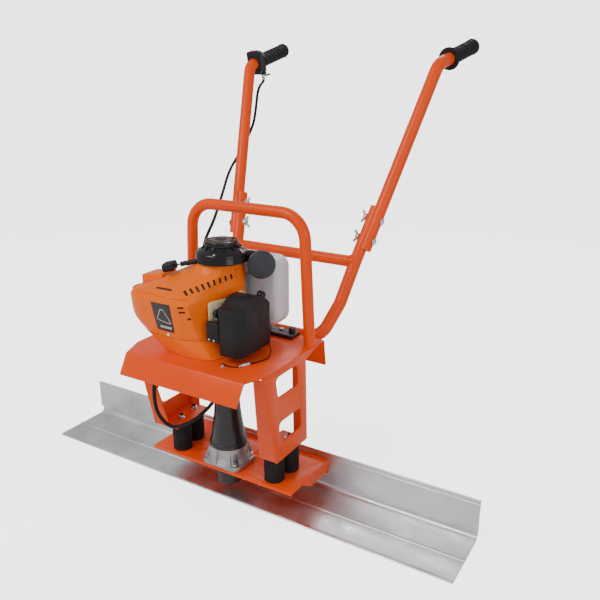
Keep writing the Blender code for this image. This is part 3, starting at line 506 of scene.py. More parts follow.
# ------------------------------------------------------- gearbox and exciter
# Cast housing in a conical skirt with eight ribs, cut away round its four
# bolts. The black cone of the drive tube stands on it, and the exciter can
# hangs below the plate with the weight on the drive shaft.
SHAFT_Y = -0.050
AXIS = Matrix.Translation((0, SHAFT_Y, 0))
dressed("gearbox_casting", "gearbox_housing", cast_grey, 0.0012, slot="cast_alloy", angle=40)
plate_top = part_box("base_plate")[1].z
gearbox_low, gearbox_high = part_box("gearbox_housing")
low, high = gearbox_low.z + 0.0115, gearbox_high.z
skirt = [(0.0405, low), (0.0560, low), (0.0560, low + 0.004), (0.0540, low + 0.0065), (0.0510, low + 0.0150),
         (0.0500, low + 0.0160), (0.0500, low + 0.0185), (0.0480, high - 0.0080), (0.0470, high - 0.0050),
         (0.0470, high), (0.0405, high)]
casting = turned("gearbox_skirt", skirt, cast_grey, matrix=AXIS, count=72, ring=True, slot="cast_alloy")
for k in range(4):
    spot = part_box("gearbox_bolt_%d" % (k + 1))
    spot = (spot[0] + spot[1]) / 2
    carve(casting, round_bar((spot.x, spot.y, low - 0.01), (spot.x, spot.y, low + 0.030), 0.0100, 32))
for k in range(8):
    turn = math.radians(45 * k)
    out = Vector((math.cos(turn), math.sin(turn), 0))
    side = out.cross(Vector((0, 0, 1))) * 0.0022
    bm = bmesh.new()
    rings = []
    for height, reach in ((low + 0.0010, 0.0590), (high - 0.0040, 0.0490)):
        inner, outer = Vector((0, SHAFT_Y, 0)) + out * 0.0455, Vector((0, SHAFT_Y, 0)) + out * reach
        points = (inner + side, inner - side, outer - side, outer + side)
        rings.append([bm.verts.new((p.x, p.y, height)) for p in points])
    piece("gearbox_rib_%d" % (k + 1), skin_over(bm, rings), cast_grey, slot="cast_alloy", edges=0.0006)
for k in range(1, 5):
    nodes["gearbox_bolt_%d" % k].data.materials[0] = zinc
for name in ("drive_shaft", "eccentric_weight", "clutch_drum", "shaft_bearing"):
    nodes[name].data.materials[0] = dark_steel
turned("exciter_can_skin", [(0, 0.034), (0.029, 0.034), (0.0315, 0.0352), (0.033, 0.038), (0.033, 0.0815),
                            (0.029, 0.0815), (0.029, 0.041), (0.027, 0.037), (0, 0.037)], black_paint,
       matrix=AXIS, count=64, stands_for=["exciter_can"], slot="black_paint")
low, high = (corner.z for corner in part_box("drive_tube"))
cone_top = 0.262
cone = [(0.0460, low), (0.0460, low + 0.0085), (0.0452, low + 0.0100), (0.0440, low + 0.0108)]
cone += [(0.0440 - 0.013 * (1 - (1 - t) ** 1.6), low + 0.0108 + (cone_top - low - 0.0108) * t)
         for t in (0.15, 0.3, 0.45, 0.6, 0.75, 0.9, 1.0)]
cone += [(0.0310, 0.330), (0.0325, 0.334), (0.0325, 0.352), (0.0310, 0.356), (0.0310, high), (0.0270, high),
         (0.0270, cone_top), (0.0420, low + 0.010), (0.0420, low)]
turned("drive_tube_skin", cone, black_paint, matrix=AXIS, count=72, ring=True, stands_for=["drive_tube"],
       slot="black_paint")

# ----------------------------------------------------------- rubber isolators
# Four black rubber mounts, slightly barrelled, with a steel washer at each end
# and a zinc nut on the stud above the leg's foot.
foot_top = 0.170
for k in range(4):
    low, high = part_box("isolator_%d" % (k + 1))
    middle = (low + high) / 2
    base, top = plate_top + 0.0003, foot_top - 0.0043
    body = [(0, base - 0.012), (0.005, base - 0.012), (0.005, base), (0.0238, base), (0.0245, base + 0.0010),
            (0.0245, base + 0.0030), (0.0236, base + 0.0042)]
    body += [(0.0236 + 0.0010 * math.sin(math.pi * t / 6), base + 0.0042 + (top - base - 0.0084) * t / 6)
             for t in range(1, 6)]
    body += [(0.0236, top - 0.0042), (0.0245, top - 0.0030), (0.0245, top - 0.0010), (0.0238, top),
             (0.005, top), (0.005, top + 0.014), (0, top + 0.014)]
    spot = Matrix.Translation((middle.x, middle.y, 0))
    turned("isolator_rubber_%d" % (k + 1), body, rubber, matrix=spot, stands_for=["isolator_%d" % (k + 1)],
           slot="black_rubber")
    seat = (middle.x, middle.y, foot_top + 0.0001)
    washer("isolator_washer_%d" % (k + 1), seat, (0, 0, 1), 0.0105, 0.0052, 0.0016, zinc)
    nut("isolator_nut_%d" % (k + 1), (seat[0], seat[1], seat[2] + 0.0016), (0, 0, 1), 0.0088, 0.0065, zinc)

# ---------------------------------------------------------------- legs, deck
# Folded 4 mm legs with windows, and the deck sheet over them with its bent
# front apron and rear flap. All powder coated orange.
for name in ("left", "right"):
    dressed(name + "_leg_skin", name + "_leg", powder_coat, 0.0007, slot="orange_paint")


def sheet_strip(stations, thickness):
    """Bent sheet: stations are (y, z, half width) along its upper face."""
    bm = bmesh.new()
    rings = []
    for i, (y, z, half) in enumerate(stations):
        before = stations[max(i - 1, 0)]
        after = stations[min(i + 1, len(stations) - 1)]
        run = Vector((after[0] - before[0], after[1] - before[1])).normalized()
        inner = (y + run.y * thickness, z - run.x * thickness)
        rings.append([bm.verts.new((-half, y, z)), bm.verts.new((half, y, z)),
                      bm.verts.new((half, *inner)), bm.verts.new((-half, *inner))])
    return skin_over(bm, rings)


def fold(corner, before, after, radius, steps=6):
    """Points of a bend of the given radius at a corner between two runs."""
    corner, before, after = Vector(corner), Vector(before), Vector(after)
    back, ahead = (before - corner).normalized(), (after - corner).normalized()
    half = back.angle(ahead) / 2
    centre = corner + (back + ahead).normalized() * radius / math.sin(half)
    start = corner + back * radius / math.tan(half) - centre
    end = corner + ahead * radius / math.tan(half) - centre
    return [tuple(centre + start.lerp(end, k / steps).normalized() * radius) for k in range(steps + 1)]


deck_top, sheet = 0.400, 0.004
front_edge, back_edge = -0.206, 0.096
apron_foot = (front_edge - 0.028, deck_top - 0.0465)
flap_foot = (back_edge + 0.012, deck_top - 0.070)
front_half, deck_half = 0.166, 0.188
stations = [(*apron_foot, front_half - 0.001)]
stations += [(y, z, front_half) for y, z in fold((front_edge, deck_top), apron_foot, (0, deck_top), 0.007)]
stations += [(-0.146, deck_top, deck_half), (-0.05, deck_top, deck_half), (0.05, deck_top, deck_half)]
stations += [(y, z, deck_half) for y, z in fold((back_edge, deck_top), (0, deck_top), flap_foot, 0.007)]
stations += [(*flap_foot, deck_half - 0.001)]
deck = piece("deck_skin", sheet_strip(stations, sheet), powder_coat, stands_for=["deck"], slot="orange_paint",
             edges=0.0007)
carve(deck, round_bar((0, SHAFT_Y, 0.38), (0, SHAFT_Y, 0.42), 0.026, 48))


# --------------------------------------------------------------- round tubes
# Guard hoop in 28 mm tube welded to the deck, rear frame in 32 mm tube with
# its welded crossbar, and two 32 mm handles that seat in grooves scooped from
# the frame's ends and are held there by wing nuts.
def bent_line(corners, radius, steps=12):
    points = [Vector(corners[0])]
    for before, here, after in zip(corners, corners[1:], corners[2:]):
        points += [Vector(p) for p in fold(here, before, after, radius, steps)]
    points.append(Vector(corners[-1]))
    return points


def smooth_line(points, per_span=8):
    """Catmull-Rom curve through the points."""
    pts = [Vector(p) for p in points]
    pts = [pts[0] * 2 - pts[1]] + pts + [pts[-1] * 2 - pts[-2]]
    result = []
    for a, b, c, d in zip(pts, pts[1:], pts[2:], pts[3:]):
        for k in range(per_span):
            t = k / per_span
            result.append(0.5 * ((2 * b) + (c - a) * t + (2 * a - 5 * b + 4 * c - d) * t * t
                                 + (3 * b - a - 3 * c + d) * t ** 3))
    result.append(pts[-2])
    return result


def swept(points, radius, sides=32):
    """Closed round bar along a line."""
    bm = bmesh.new()
    rings = []
    tangent = (points[1] - points[0]).normalized()
    side = tangent.orthogonal().normalized()
    for i, point in enumerate(points):
        ahead = points[min(i + 1, len(points) - 1)] - point
        behind = point - points[max(i - 1, 0)]
        new = (ahead.normalized() + behind.normalized()).normalized()
        side = (tangent.rotation_difference(new) @ side).normalized()
        tangent = new
        up = tangent.cross(side)
        rings.append([bm.verts.new(point + (side * math.cos(math.tau * k / sides)
                                            + up * math.sin(math.tau * k / sides)) * radius)
                      for k in range(sides)])
    return skin_over(bm, rings)


def mirrored(vector, side):
    return Vector((vector[0] * side, vector[1], vector[2]))


def weld_bead(name, centre, direction, radius, thick=0.0022):
    """Bead of weld round a tube's foot, a little uneven."""
    matrix = towards(centre, direction)
    bm = bmesh.new()
    rings = []
    around, across = 72, 8
    for k in range(around):
        turn = math.tau * k / around
        lump = thick * (1 + 0.10 * math.sin(turn * 23))
        rings.append([bm.verts.new(matrix @ Vector(((radius + lump * math.cos(a)) * math.cos(turn),
                                                    (radius + lump * math.cos(a)) * math.sin(turn),
                                                    lump * 0.9 * math.sin(a))))
                      for a in [math.tau * n / across for n in range(across)]])
    for k in range(around):
        bridge(bm, rings[k], rings[(k + 1) % around])
    return piece(name, bm, powder_coat, slot="orange_paint")


tube, hoop_tube = 0.016, 0.0138
saddle_bore = tube + 0.0003
hoop_y, hoop_foot = 0.046, deck_top + 0.0003
hoop_corners = [(-0.176, hoop_y, hoop_foot), (-0.160, hoop_y, 0.709), (0.160, hoop_y, 0.709),
                (0.176, hoop_y, hoop_foot)]
piece("guard_hoop_tube", swept(bent_line(hoop_corners, 0.062), hoop_tube), powder_coat,
      stands_for=["guard_hoop"], slot="orange_paint")
for side, label in ((-1, "left"), (1, "right")):
    weld_bead("hoop_weld_" + label, (side * 0.176, hoop_y, hoop_foot), (0, 0, 1), hoop_tube)

slope = Vector((0.195, 0.477, 1.0))
handle_foot = Vector((0.2019, 0.274, 0.585))
handle_bend = handle_foot + slope * 0.4447
grip_way = Vector((0.0125, 0.1514, 0.0352)).normalized()
saddle_low = handle_foot + Vector((-0.0115, 0.0, 0.0022))
saddle_top = saddle_low + slope * 0.100
saddle_bolts = (0.024, 0.072)
inward = Vector((-1, 0, 0))
inward = (inward - slope.normalized() * inward.dot(slope.normalized())).normalized()
right_half = [Vector((0.158, 0.126, 0.386)), Vector((0.176, 0.196, 0.462)), saddle_low - slope * 0.030,
              saddle_top]
left_half = [mirrored(p, -1) for p in reversed(right_half)]
rear = piece("rear_frame_tube", swept(bent_line(left_half + right_half, 0.045), tube), powder_coat,
             stands_for=["rear_frame"], slot="orange_paint")
for side in (-1, 1):
    start, along = mirrored(handle_foot, side), mirrored(slope, side)
    carve(rear, round_bar(start - along.normalized() * 0.0003, start + along * 0.2, saddle_bore, 48))
    for share in saddle_bolts:
        centre, across = start + along * share, mirrored(inward, side)
        carve(rear, round_bar(centre - across * 0.05, centre + across * 0.05, bolt_hole))
bar_end = Vector((0.186, 0.2547, 0.556))
piece("crossbar_tube", swept([mirrored(bar_end, -1), Vector((0, bar_end.y, bar_end.z)), bar_end], 0.0149),
      powder_coat, slot="orange_paint")
for side, label in ((-1, "left"), (1, "right")):
    weld_bead("crossbar_weld_" + label, (side * 0.1715, bar_end.y, bar_end.z), (1, 0, 0), 0.0148)

grip_start, grip_length = 0.062, 0.150
for side, label in ((-1, "left"), (1, "right")):
    end = handle_bend + grip_way * (grip_start + grip_length)
    corners = [mirrored(p, side) for p in (handle_foot, handle_bend, end)]
    handle = piece(label + "_handle_tube", swept(bent_line(corners, 0.040), tube), powder_coat,
                   stands_for=[label + "_handle"], slot="orange_paint")
    for index, share in enumerate(saddle_bolts):
        centre, across = mirrored(handle_foot + slope * share, side), mirrored(inward, side)
        carve(handle, round_bar(centre - across * 0.05, centre + across * 0.05, bolt_hole))
        nodes["%s_handle_bolt_%d" % (label, index + 1)].data.materials[0] = zinc
        washer("%s_saddle_washer_%d" % (label, index + 1), centre + across * 0.0272, across, 0.0105,
               bolt_hole, 0.0012, zinc)
        dressed("%s_wing_nut_%d_skin" % (label, index + 1), "%s_wing_nut_%d" % (label, index + 1), zinc,
                0.0005, "%s_wing_nut_%d" % (label, index + 1), "zinc")


# ------------------------------------------------------- grips and controls
# Moulded rubber grips with a flange and ribs; on the left a two-part switch
# box with a red rocker and a throttle clamp with its finger lever.
def make_grip(label, side):
    """Ribbed sleeve over the handle's end; the right one has the wider flange."""
    flange = 0.029 if side > 0 else 0.022
    length = grip_length + 0.006
    outline = [(saddle_bore, 0), (flange - 0.0015, 0), (flange, 0.0012), (flange, 0.0030),
               (flange - 0.0015, 0.0042), (0.0205, 0.0052), (0.0195, 0.0075), (0.0192, 0.0140)]
    ribs, first = 9, 0.018
    pitch = (length - 0.020 - first) / ribs
    for k in range(ribs):
        z = first + pitch * k
        outline += [(0.0186, z), (0.0188, z + pitch * 0.12), (0.0200, z + pitch * 0.26),
                    (0.0203, z + pitch * 0.45), (0.0203, z + pitch * 0.62), (0.0200, z + pitch * 0.80),
                    (0.0188, z + pitch * 0.94)]
    outline += [(0.0188, length - 0.020), (0.0204, length - 0.017), (0.0214, length - 0.012),
                (0.0212, length - 0.006), (0.0200, length - 0.0025), (0.0170, length - 0.0006),
                (0.010, length), (0, length), (0, grip_length + 0.0006),
                (saddle_bore, grip_length + 0.0006)]
    start = mirrored(handle_bend + grip_way * grip_start, side)
    turned(label + "_grip_rubber", outline, rubber, matrix=towards(start, mirrored(grip_way, side)), count=64,
           stands_for=[label + "_grip"], slot="black_rubber", sharp=50)


make_grip("left", -1)
make_grip("right", 1)

controls = towards(mirrored(handle_bend, -1) + mirrored(grip_way, -1) * 0.0345, mirrored(grip_way, -1))
controls = controls @ Matrix.Rotation(math.pi / 2, 4, "Z")


def screw(name, matrix, head, edge, land, top, count=24):
    """Low screw head: radius and height of its edge, then of its flat top."""
    return turned(name, [(0, 0), (head, 0), (head, edge), (land, top), (0, top)], zinc, matrix=matrix,
                  count=count)


def clamp(name, low, high, replaces_node, radius=0.005):
    """Moulded half of the controls, bored for the handle."""
    outline = rounded(rectangle(low, high), radius, 4)
    body = piece(name, prism(outline, low[2], high[2], "Z", controls), black_grain,
                 stands_for=[replaces_node], slot="black_plastic", edges=0.0009)
    return carve(body, lathe([(0, low[2] - 0.02), (saddle_bore, low[2] - 0.02), (saddle_bore, high[2] + 0.02),
                              (0, high[2] + 0.02)], controls))


rocker_window = ((0.026, -0.0098, -0.0075), (0.040, 0.0098, 0.0055))
switch = clamp("switch_box_shell", (-0.024, -0.021, -0.012), (0.034, 0.021, 0.010), "switch_box")
carve(switch, block(*rocker_window, controls),
      block((-0.030, -0.0004, -0.020), (-0.0165, 0.0004, 0.020), controls))
for k, y in enumerate((-0.0150, 0.0150)):
    screw("switch_screw_%d" % (k + 1),
          controls @ Matrix.Translation((-0.0240, y, -0.001)) @ Matrix.Rotation(-math.pi / 2, 4, "Y"),
          0.0030, 0.0008, 0.0022, 0.0014)
rocker_red = finish("red_rocker", (0.62, 0.012, 0.010), (0.50, 0.010, 0.008), 0.16, 0.30, (400, 0.0001), 40)
rocker_side = [(0.0290, -0.0090), (0.0372, -0.0090), (0.0358, 0.0), (0.0385, 0.0090), (0.0290, 0.0090)]
rocker = prism(rocker_side, -0.0068, 0.0048, "Z", controls)
piece("switch_rocker_cap", rocker, rocker_red, "switch_rocker", ["switch_rocker"], "red_plastic",
      edges=0.0008)
bezel = piece("switch_bezel", block((0.0335, -0.0125, -0.0100), (0.0352, 0.0125, 0.0080), controls),
              black_gloss, slot="black_plastic", edges=0.0006)
carve(bezel, block(*rocker_window, controls))
throttle = clamp("throttle_clamp_shell", (-0.036, -0.020, 0.0104), (0.022, 0.020, 0.0254), "throttle_housing")
carve(throttle, block((-0.040, -0.003, 0.0134), (-0.0200, 0.003, 0.030), controls))
screw("throttle_pivot_screw",
      controls @ Matrix.Translation((-0.0270, 0.0200, 0.0190)) @ Matrix.Rotation(-math.pi / 2, 4, "X"),
      0.0036, 0.0012, 0.0026, 0.0020)
dressed("throttle_lever_blade", "throttle_lever", black_grain, 0.0009, "throttle_lever", "black_plastic",
        steps=3)
sleeve_start = controls @ Vector((-0.0385, 0.0100, 0.0180))
sleeve_below = controls @ Vector((-0.0540, 0.0100, 0.0165))
piece("cable_adjuster", swept([sleeve_start + (sleeve_start - sleeve_below) * 0.15, sleeve_below], 0.0048,
                              24), zinc, edges=0.0005)

# ------------------------------------------------------------------- cables
# Throttle cable from the left grip down the handle to the engine, and the
# looped lead under the deck. Black plastic sleeves.
sleeve = [sleeve_start, sleeve_below, (-0.2560, 0.478, 0.960), (-0.2505, 0.442, 0.870),
          (-0.264, 0.394, 0.795), (-0.258, 0.330, 0.744), (-0.200, 0.218, 0.700), (-0.152, 0.120, 0.656),
          (-0.124, 0.045, 0.616), (-0.106, 0.010, 0.575), (-0.094, 0.004, 0.530), (-0.080, -0.004, 0.500)]
piece("throttle_cable_sleeve", swept(smooth_line(sleeve), 0.0040, 16), rubber, stands_for=["throttle_cable"],
      slot="black_rubber")
loop = [(-0.120, -0.112, 0.395), (-0.120, -0.112, 0.375), (-0.137, -0.138, 0.340), (-0.142, -0.150, 0.290),
        (-0.136, -0.151, 0.230), (-0.104, -0.147, 0.199), (-0.068, -0.141, 0.206), (-0.030, -0.128, 0.232),
        (0.004, -0.108, 0.275), (0.026, -0.100, 0.335), (0.030, -0.098, 0.375), (0.030, -0.098, 0.395)]
piece("under_deck_lead", swept(smooth_line(loop), 0.0045, 16), rubber, stands_for=["under_deck_cable"],
      slot="black_rubber")

# ------------------------------------------------------------- engine shells
# Gloss orange moulded cover over the cylinder, with louvres along its right
# shoulder and a plate on its front, above the fan housing on the deck.
orange_gloss = finish("orange_gloss_shell", (0.98, 0.165, 0.000), (0.94, 0.145, 0.000), 0.20, 0.30,
                      (260, 0.00020), 9, coat=0.05, specular=0.12)
# Painted shade: a near-black brown for the pieces set in the cover's openings and beside its ledge, where
# there is only shade.
painted_shade = finish("shell_shadow", (0.030, 0.012, 0.006), (0.016, 0.008, 0.005), 0.6, 0.85,
                     (600, 0.0002), 30)


def flowing(points, steps, sharp=(), closed=False):
    """Smooth line through every point. A point whose index is in sharp keeps
    its corner; a closed line runs back to its first point."""
    count = len(points)
    spans = count if closed else count - 1
    out = []
    for i in range(spans):
        p1, p2 = Vector(points[i]), Vector(points[(i + 1) % count])
        p0 = Vector(points[(i - 1) % count]) if closed or i > 0 else p1 * 2 - p2
        p3 = Vector(points[(i + 2) % count]) if closed or i + 2 < count else p2 * 2 - p1
        m1 = (p2 - p1) if i in sharp else (p2 - p0) * 0.5
        m2 = (p2 - p1) if (i + 1) % count in sharp else (p3 - p1) * 0.5
        for k in range(steps):
            t = k / steps
            out.append(p1 * (2 * t ** 3 - 3 * t ** 2 + 1) + m1 * (t ** 3 - 2 * t ** 2 + t)
                       + p2 * (-2 * t ** 3 + 3 * t ** 2) + m2 * (t ** 3 - t ** 2))
    if not closed:
        out.append(Vector(points[-1]))
    return out


def moulded(name, sections, corners, creases, stands_for, steps=8):
    """Shell through (height, outline) sections; a point with a third value lies
    at that height. corners are the outline points that stay sharp, creases
    the sections that stay sharp."""
    rings = []
    for height, outline in sections:
        rings.append(flowing([(p[0], p[1], p[2] if len(p) > 2 else height) for p in outline], steps,
                             corners, True))
    columns = [flowing([ring[k] for ring in rings], steps, creases) for k in range(len(rings[0]))]
    bm = bmesh.new()
    levels = [[bm.verts.new(column[j]) for column in columns] for j in range(len(columns[0]))]
    return piece(name, skin_over(bm, levels), orange_gloss, stands_for=stands_for, slot="orange_shell",
                 sharp=32)


floor_line = [(-0.095, -0.060), (-0.112, -0.110), (-0.098, -0.146), (-0.055, -0.158), (0.000, -0.158),
              (0.038, -0.146), (0.050, -0.115), (0.0525, -0.085), (0.0525, -0.030), (0.045, 0.016),
              (-0.070, 0.016)]
waist_line = [(-0.135, -0.060), (-0.160, -0.125), (-0.142, -0.158), (-0.092, -0.168), (-0.040, -0.168),
              (0.008, -0.152), (0.026, -0.122), (0.0425, -0.090), (0.0525, -0.035), (0.045, 0.016),
              (-0.080, 0.016)]
split, flywheel_bore = 0.442, 0.0475
housing = moulded("fan_housing_shell", [(deck_top + 0.0010, floor_line), (split, waist_line)], (5, 9, 10),
                  (0, 1), ["fan_housing"])
carve(housing, round_bar((0, SHAFT_Y, 0.39), (0, SHAFT_Y, 0.46), flywheel_bore, 64))

lower_line = [(-0.138, -0.050)] + waist_line[1:9] + [(0.042, -0.022), (-0.100, -0.022)]
belly_line = [(-0.165, -0.060), (-0.184, -0.135), (-0.160, -0.172), (-0.100, -0.178), (-0.038, -0.178),
              (0.003, -0.162), (0.021, -0.122), (0.0355, -0.088), (0.0520, -0.045), (0.043, -0.022),
              (-0.105, -0.022)]
brow_line = [(-0.168, -0.070, 0.530), (-0.184, -0.146, 0.528), (-0.154, -0.186, 0.535),
             (-0.096, -0.192, 0.535), (-0.034, -0.192, 0.533), (0.003, -0.180, 0.530),
             (0.0185, -0.138, 0.540), (0.034, -0.095, 0.548), (0.053, -0.048, 0.556),
             (0.044, -0.022, 0.560), (-0.110, -0.022, 0.545)]
lip_line = [(-0.160, -0.075, 0.545), (-0.176, -0.146, 0.541), (-0.150, -0.181, 0.548),
            (-0.096, -0.187, 0.549), (-0.036, -0.187, 0.547), (-0.002, -0.175, 0.545),
            (0.0150, -0.138, 0.555), (0.030, -0.095, 0.563), (0.049, -0.050, 0.572),
            (0.043, -0.022, 0.576), (-0.100, -0.022, 0.560)]
hood_line = [(-0.072, -0.045, 0.588), (-0.080, -0.078, 0.586), (-0.066, -0.106, 0.584),
             (-0.040, -0.120, 0.583), (-0.010, -0.122, 0.582), (0.010, -0.116, 0.581),
             (0.024, -0.102, 0.583), (0.033, -0.082, 0.586), (0.046, -0.050, 0.592),
             (0.042, -0.023, 0.594), (-0.055, -0.023, 0.592)]
neck_line = [(-0.053, -0.042), (-0.052, -0.066), (-0.043, -0.084), (-0.028, -0.097), (-0.010, -0.102),
             (0.008, -0.100), (0.022, -0.093), (0.031, -0.080), (0.045, -0.050), (0.041, -0.024),
             (-0.045, -0.024)]
starter_low = 0.606
cover = moulded("engine_cover_shell", [(split + 0.0010, lower_line), (0.480, belly_line), (0, brow_line),
                                       (0, lip_line), (0, hood_line), (starter_low - 0.0003, neck_line)],
                (5, 9, 10), (0, 2, 3, 5), ["engine_cover"])
surface = BVHTree.FromPolygons([v.co for v in cover.data.vertices], [p.vertices for p in cover.data.polygons])


def on_top(x, y):
    """Point and normal of the cover seen from above."""
    place, normal, _, _ = surface.ray_cast(Vector((x, y, 0.8)), Vector((0, 0, -1)))
    return place, normal


def on_front(x, z):
    """Point and normal of the cover seen from the front."""
    place, normal, _, _ = surface.ray_cast(Vector((x, -0.5, z)), Vector((0, 1, 0)))
    return place, normal


def on_shoulder(spot):
    """Point and normal of the cover under a spot, from the front right."""
    out = Vector((0.606, -0.742, 0.285)).normalized()
    place, normal, _, _ = surface.ray_cast(spot + out * 0.2, -out)
    return place, normal


def seated(place, normal, run):
    """Matrix on a surface: Z along the normal, X along a run laid on it."""
    x = (run - normal * run.dot(normal)).normalized()
    turn = Matrix((x, normal.cross(x), normal)).transposed()
    return Matrix.Translation(place) @ turn.to_4x4()


def slot_cut(name, matrix, length, width, depth=0.0035):
    """Moulded opening: a cut with rounded ends and a dark piece behind it as painted shade."""
    outline = rounded(rectangle((-length / 2, -width / 2), (length / 2, width / 2)), width * 0.42, 3)
    carve(cover, prism(outline, -depth, 0.01, "Z", matrix))
    inner = [(a * 0.995, b * 0.99) for a, b in outline]
    # The dark piece is painted shade inside the opening, not a part of the cover.
    piece(name, prism(inner, -depth + 0.0001, -depth * 0.45, "Z", matrix), painted_shade, slot="orange_shell")


carve(cover, block((-0.0345, -0.0805, 0.43), (0.0345, 0.020, 0.5690)),
      block((-0.0405, -0.1290, 0.43), (0.0125, -0.0600, 0.5630)),
      round_bar((0, SHAFT_Y, 0.42), (0, SHAFT_Y, 0.460), flywheel_bore, 64),
      round_bar((0, SHAFT_Y, 0.55), (0, SHAFT_Y, 0.62), 0.011, 48))
for k in range(9):
    share = k / 8
    row_start, row_end = Vector((-0.012, -0.166, 0.5560)), Vector((0.0420, -0.072, 0.5780))
    place, normal = on_shoulder(row_start.lerp(row_end, share))
    slot_cut("louvre_shade_%d" % (k + 1), seated(place, normal, normal.cross(Vector((0.054, 0.094, 0.022)))),
             0.0175 - 0.0055 * share, 0.0058)
place, normal = on_top(-0.070, -0.1700)
slot_cut("lip_slot_shade", seated(place, normal, Vector((1, 0.02, 0))), 0.046, 0.0062)
for k, z in enumerate((0.5265, 0.5150)):
    place, normal = on_front(-0.0130, z)
    slot_cut("front_slot_shade_%d" % (k + 1), seated(place, normal, Vector((1, 0, 0))), 0.0160, 0.0056)
place, normal = on_front(-0.002, 0.4985)
slot_cut("side_notch_shade", seated(place, normal, Vector((1, 0, 0.5))), 0.0100, 0.0060)

ledge = [(-0.176, 0.530), (-0.112, 0.536), (-0.112, 0.575), (-0.176, 0.566)]
piece("cover_ledge", prism(ledge, -0.130, -0.075, "Y"), orange_gloss, slot="orange_shell", edges=0.0045,
      steps=4)
# A dark block beside the ledge is painted shade in the recess there.
piece("ledge_hollow_shade", block((-0.1118, -0.1275, 0.545), (-0.090, -0.090, 0.5690)), painted_shade,
      slot="orange_shell", edges=0.002)
rim = [Vector(p) for p in ((-0.178, -0.125, 0.5405), (-0.1765, -0.146, 0.5425), (-0.150, -0.1815, 0.5480),
                           (-0.096, -0.1875, 0.5495), (-0.036, -0.1875, 0.5475), (-0.004, -0.1760, 0.5455))]
piece("cover_rim", swept(smooth_line(rim), 0.0024, 16), orange_gloss, slot="orange_shell")
piece("cover_lug", block((0.0400, -0.060, 0.572), (0.0500, -0.048, 0.592)), orange_gloss, slot="orange_shell",
      edges=0.002, steps=3)

# Plate on the front with an abstract outline, a yellow sticker on the lip and
# the pan-head screw under the plate.
plate_black = finish("printed_plate", (0.020, 0.006, 0.008), (0.014, 0.005, 0.006), 0.25, 0.4,
                     (900, 0.00005), 30)
plate_pale = finish("pale_print", (0.72, 0.70, 0.72), (0.60, 0.58, 0.60), 0.3, 0.5, (900, 0.00003), 40)
sticker_yellow = finish("yellow_sticker", (0.80, 0.56, 0.02), (0.72, 0.48, 0.02), 0.3, 0.5, (900, 0.00003),
                        40)
plate_corners = [Vector(p) for p in ((-0.094, 0.460), (-0.044, 0.459), (-0.038, 0.5315), (-0.093, 0.530))]


def on_plate(u, v):
    """Front-face position (x, z) of a share of the plate's width and height."""
    low = plate_corners[0].lerp(plate_corners[1], u)
    high = plate_corners[3].lerp(plate_corners[2], u)
    return low.lerp(high, v)


def film(name, grid, lift, mat, thickness=0.0003):
    """Thin closed film laid on the front, from a grid of (u, v) shares."""
    bm = bmesh.new()
    layers = []
    for raise_by in (lift, lift + thickness):
        rows = []
        for row in grid:
            made = []
            for u, v in row:
                spot = on_plate(u, v)
                place, normal = on_front(spot.x, spot.y)
                made.append(bm.verts.new(place + normal * raise_by))
            rows.append(made)
        layers.append(rows)
    for rows in layers:
        for lower, upper in zip(rows, rows[1:]):
            for k in range(len(lower) - 1):
                bm.faces.new((lower[k], lower[k + 1], upper[k + 1], upper[k]))
    rims = []
    for rows in layers:
        rims.append(rows[0] + [row[-1] for row in rows[1:-1]] + rows[-1][::-1]
                    + [row[0] for row in rows[-2:0:-1]])
    bridge(bm, rims[0], rims[1])
    return piece(name, bm, mat, slot="orange_shell", sharp=60)


def strip(name, line, width, lift):
    """Printed line of even width along (u, v) points."""
    left, right = [], []
    for i, (u, v) in enumerate(line):
        run = Vector(line[min(i + 1, len(line) - 1)]) - Vector(line[max(i - 1, 0)])
        side = Vector((-run.y, run.x)).normalized() * width
        left.append((u + side.x, v + side.y))
        right.append((u - side.x, v - side.y))
    film(name, [left, right], lift, plate_pale, 0.0001)


film("front_plate", [[(u / 12, v / 14) for u in range(13)] for v in range(15)], 0.0002, plate_black)
symbol = [(0.16, 0.42), (0.30, 0.60), (0.44, 0.78), (0.60, 0.78), (0.72, 0.62), (0.84, 0.46), (0.90, 0.32)]
strip("plate_line_upper", symbol, 0.012, 0.00055)
strip("plate_line_lower", [(0.16, 0.42), (0.34, 0.38), (0.52, 0.35), (0.70, 0.33), (0.90, 0.32)], 0.010,
      0.00055)
for k in range(5):
    low_u = 0.26 + 0.13 * k
    strip("plate_mark_%d" % (k + 1), [(low_u, 0.155), (low_u + 0.05, 0.152), (low_u + 0.10, 0.149)], 0.040,
          0.00055)
place, normal = on_front(-0.0640, 0.4500)
turned("cover_screw", [(0, 0), (0.0046, 0), (0.0046, 0.0010), (0.0036, 0.0024), (0.0018, 0.0030),
                       (0, 0.0030)], zinc, matrix=seated(place, normal, Vector((1, 0, 0))), count=32)
place, normal = on_top(-0.151, -0.160)
piece("yellow_sticker", block((-0.009, -0.006, 0.0001), (0.009, 0.006, 0.0004),
                              seated(place, normal, Vector((1, -0.5, 0)))), sticker_yellow,
      slot="orange_shell")

# --------------------------------------------- crankcase, flywheel, crankshaft
# Cast parts inside the shells; only the crankcase's back shows past the cover.
dressed("crankcase_casting", "crankcase", cast_grey, 0.0015, slot="cast_alloy", angle=40)
nodes["flywheel"].data.materials[0] = cast_grey
nodes["crankshaft"].data.materials[0] = dark_steel
nodes["starter_pulley"].data.materials[0] = black_grain

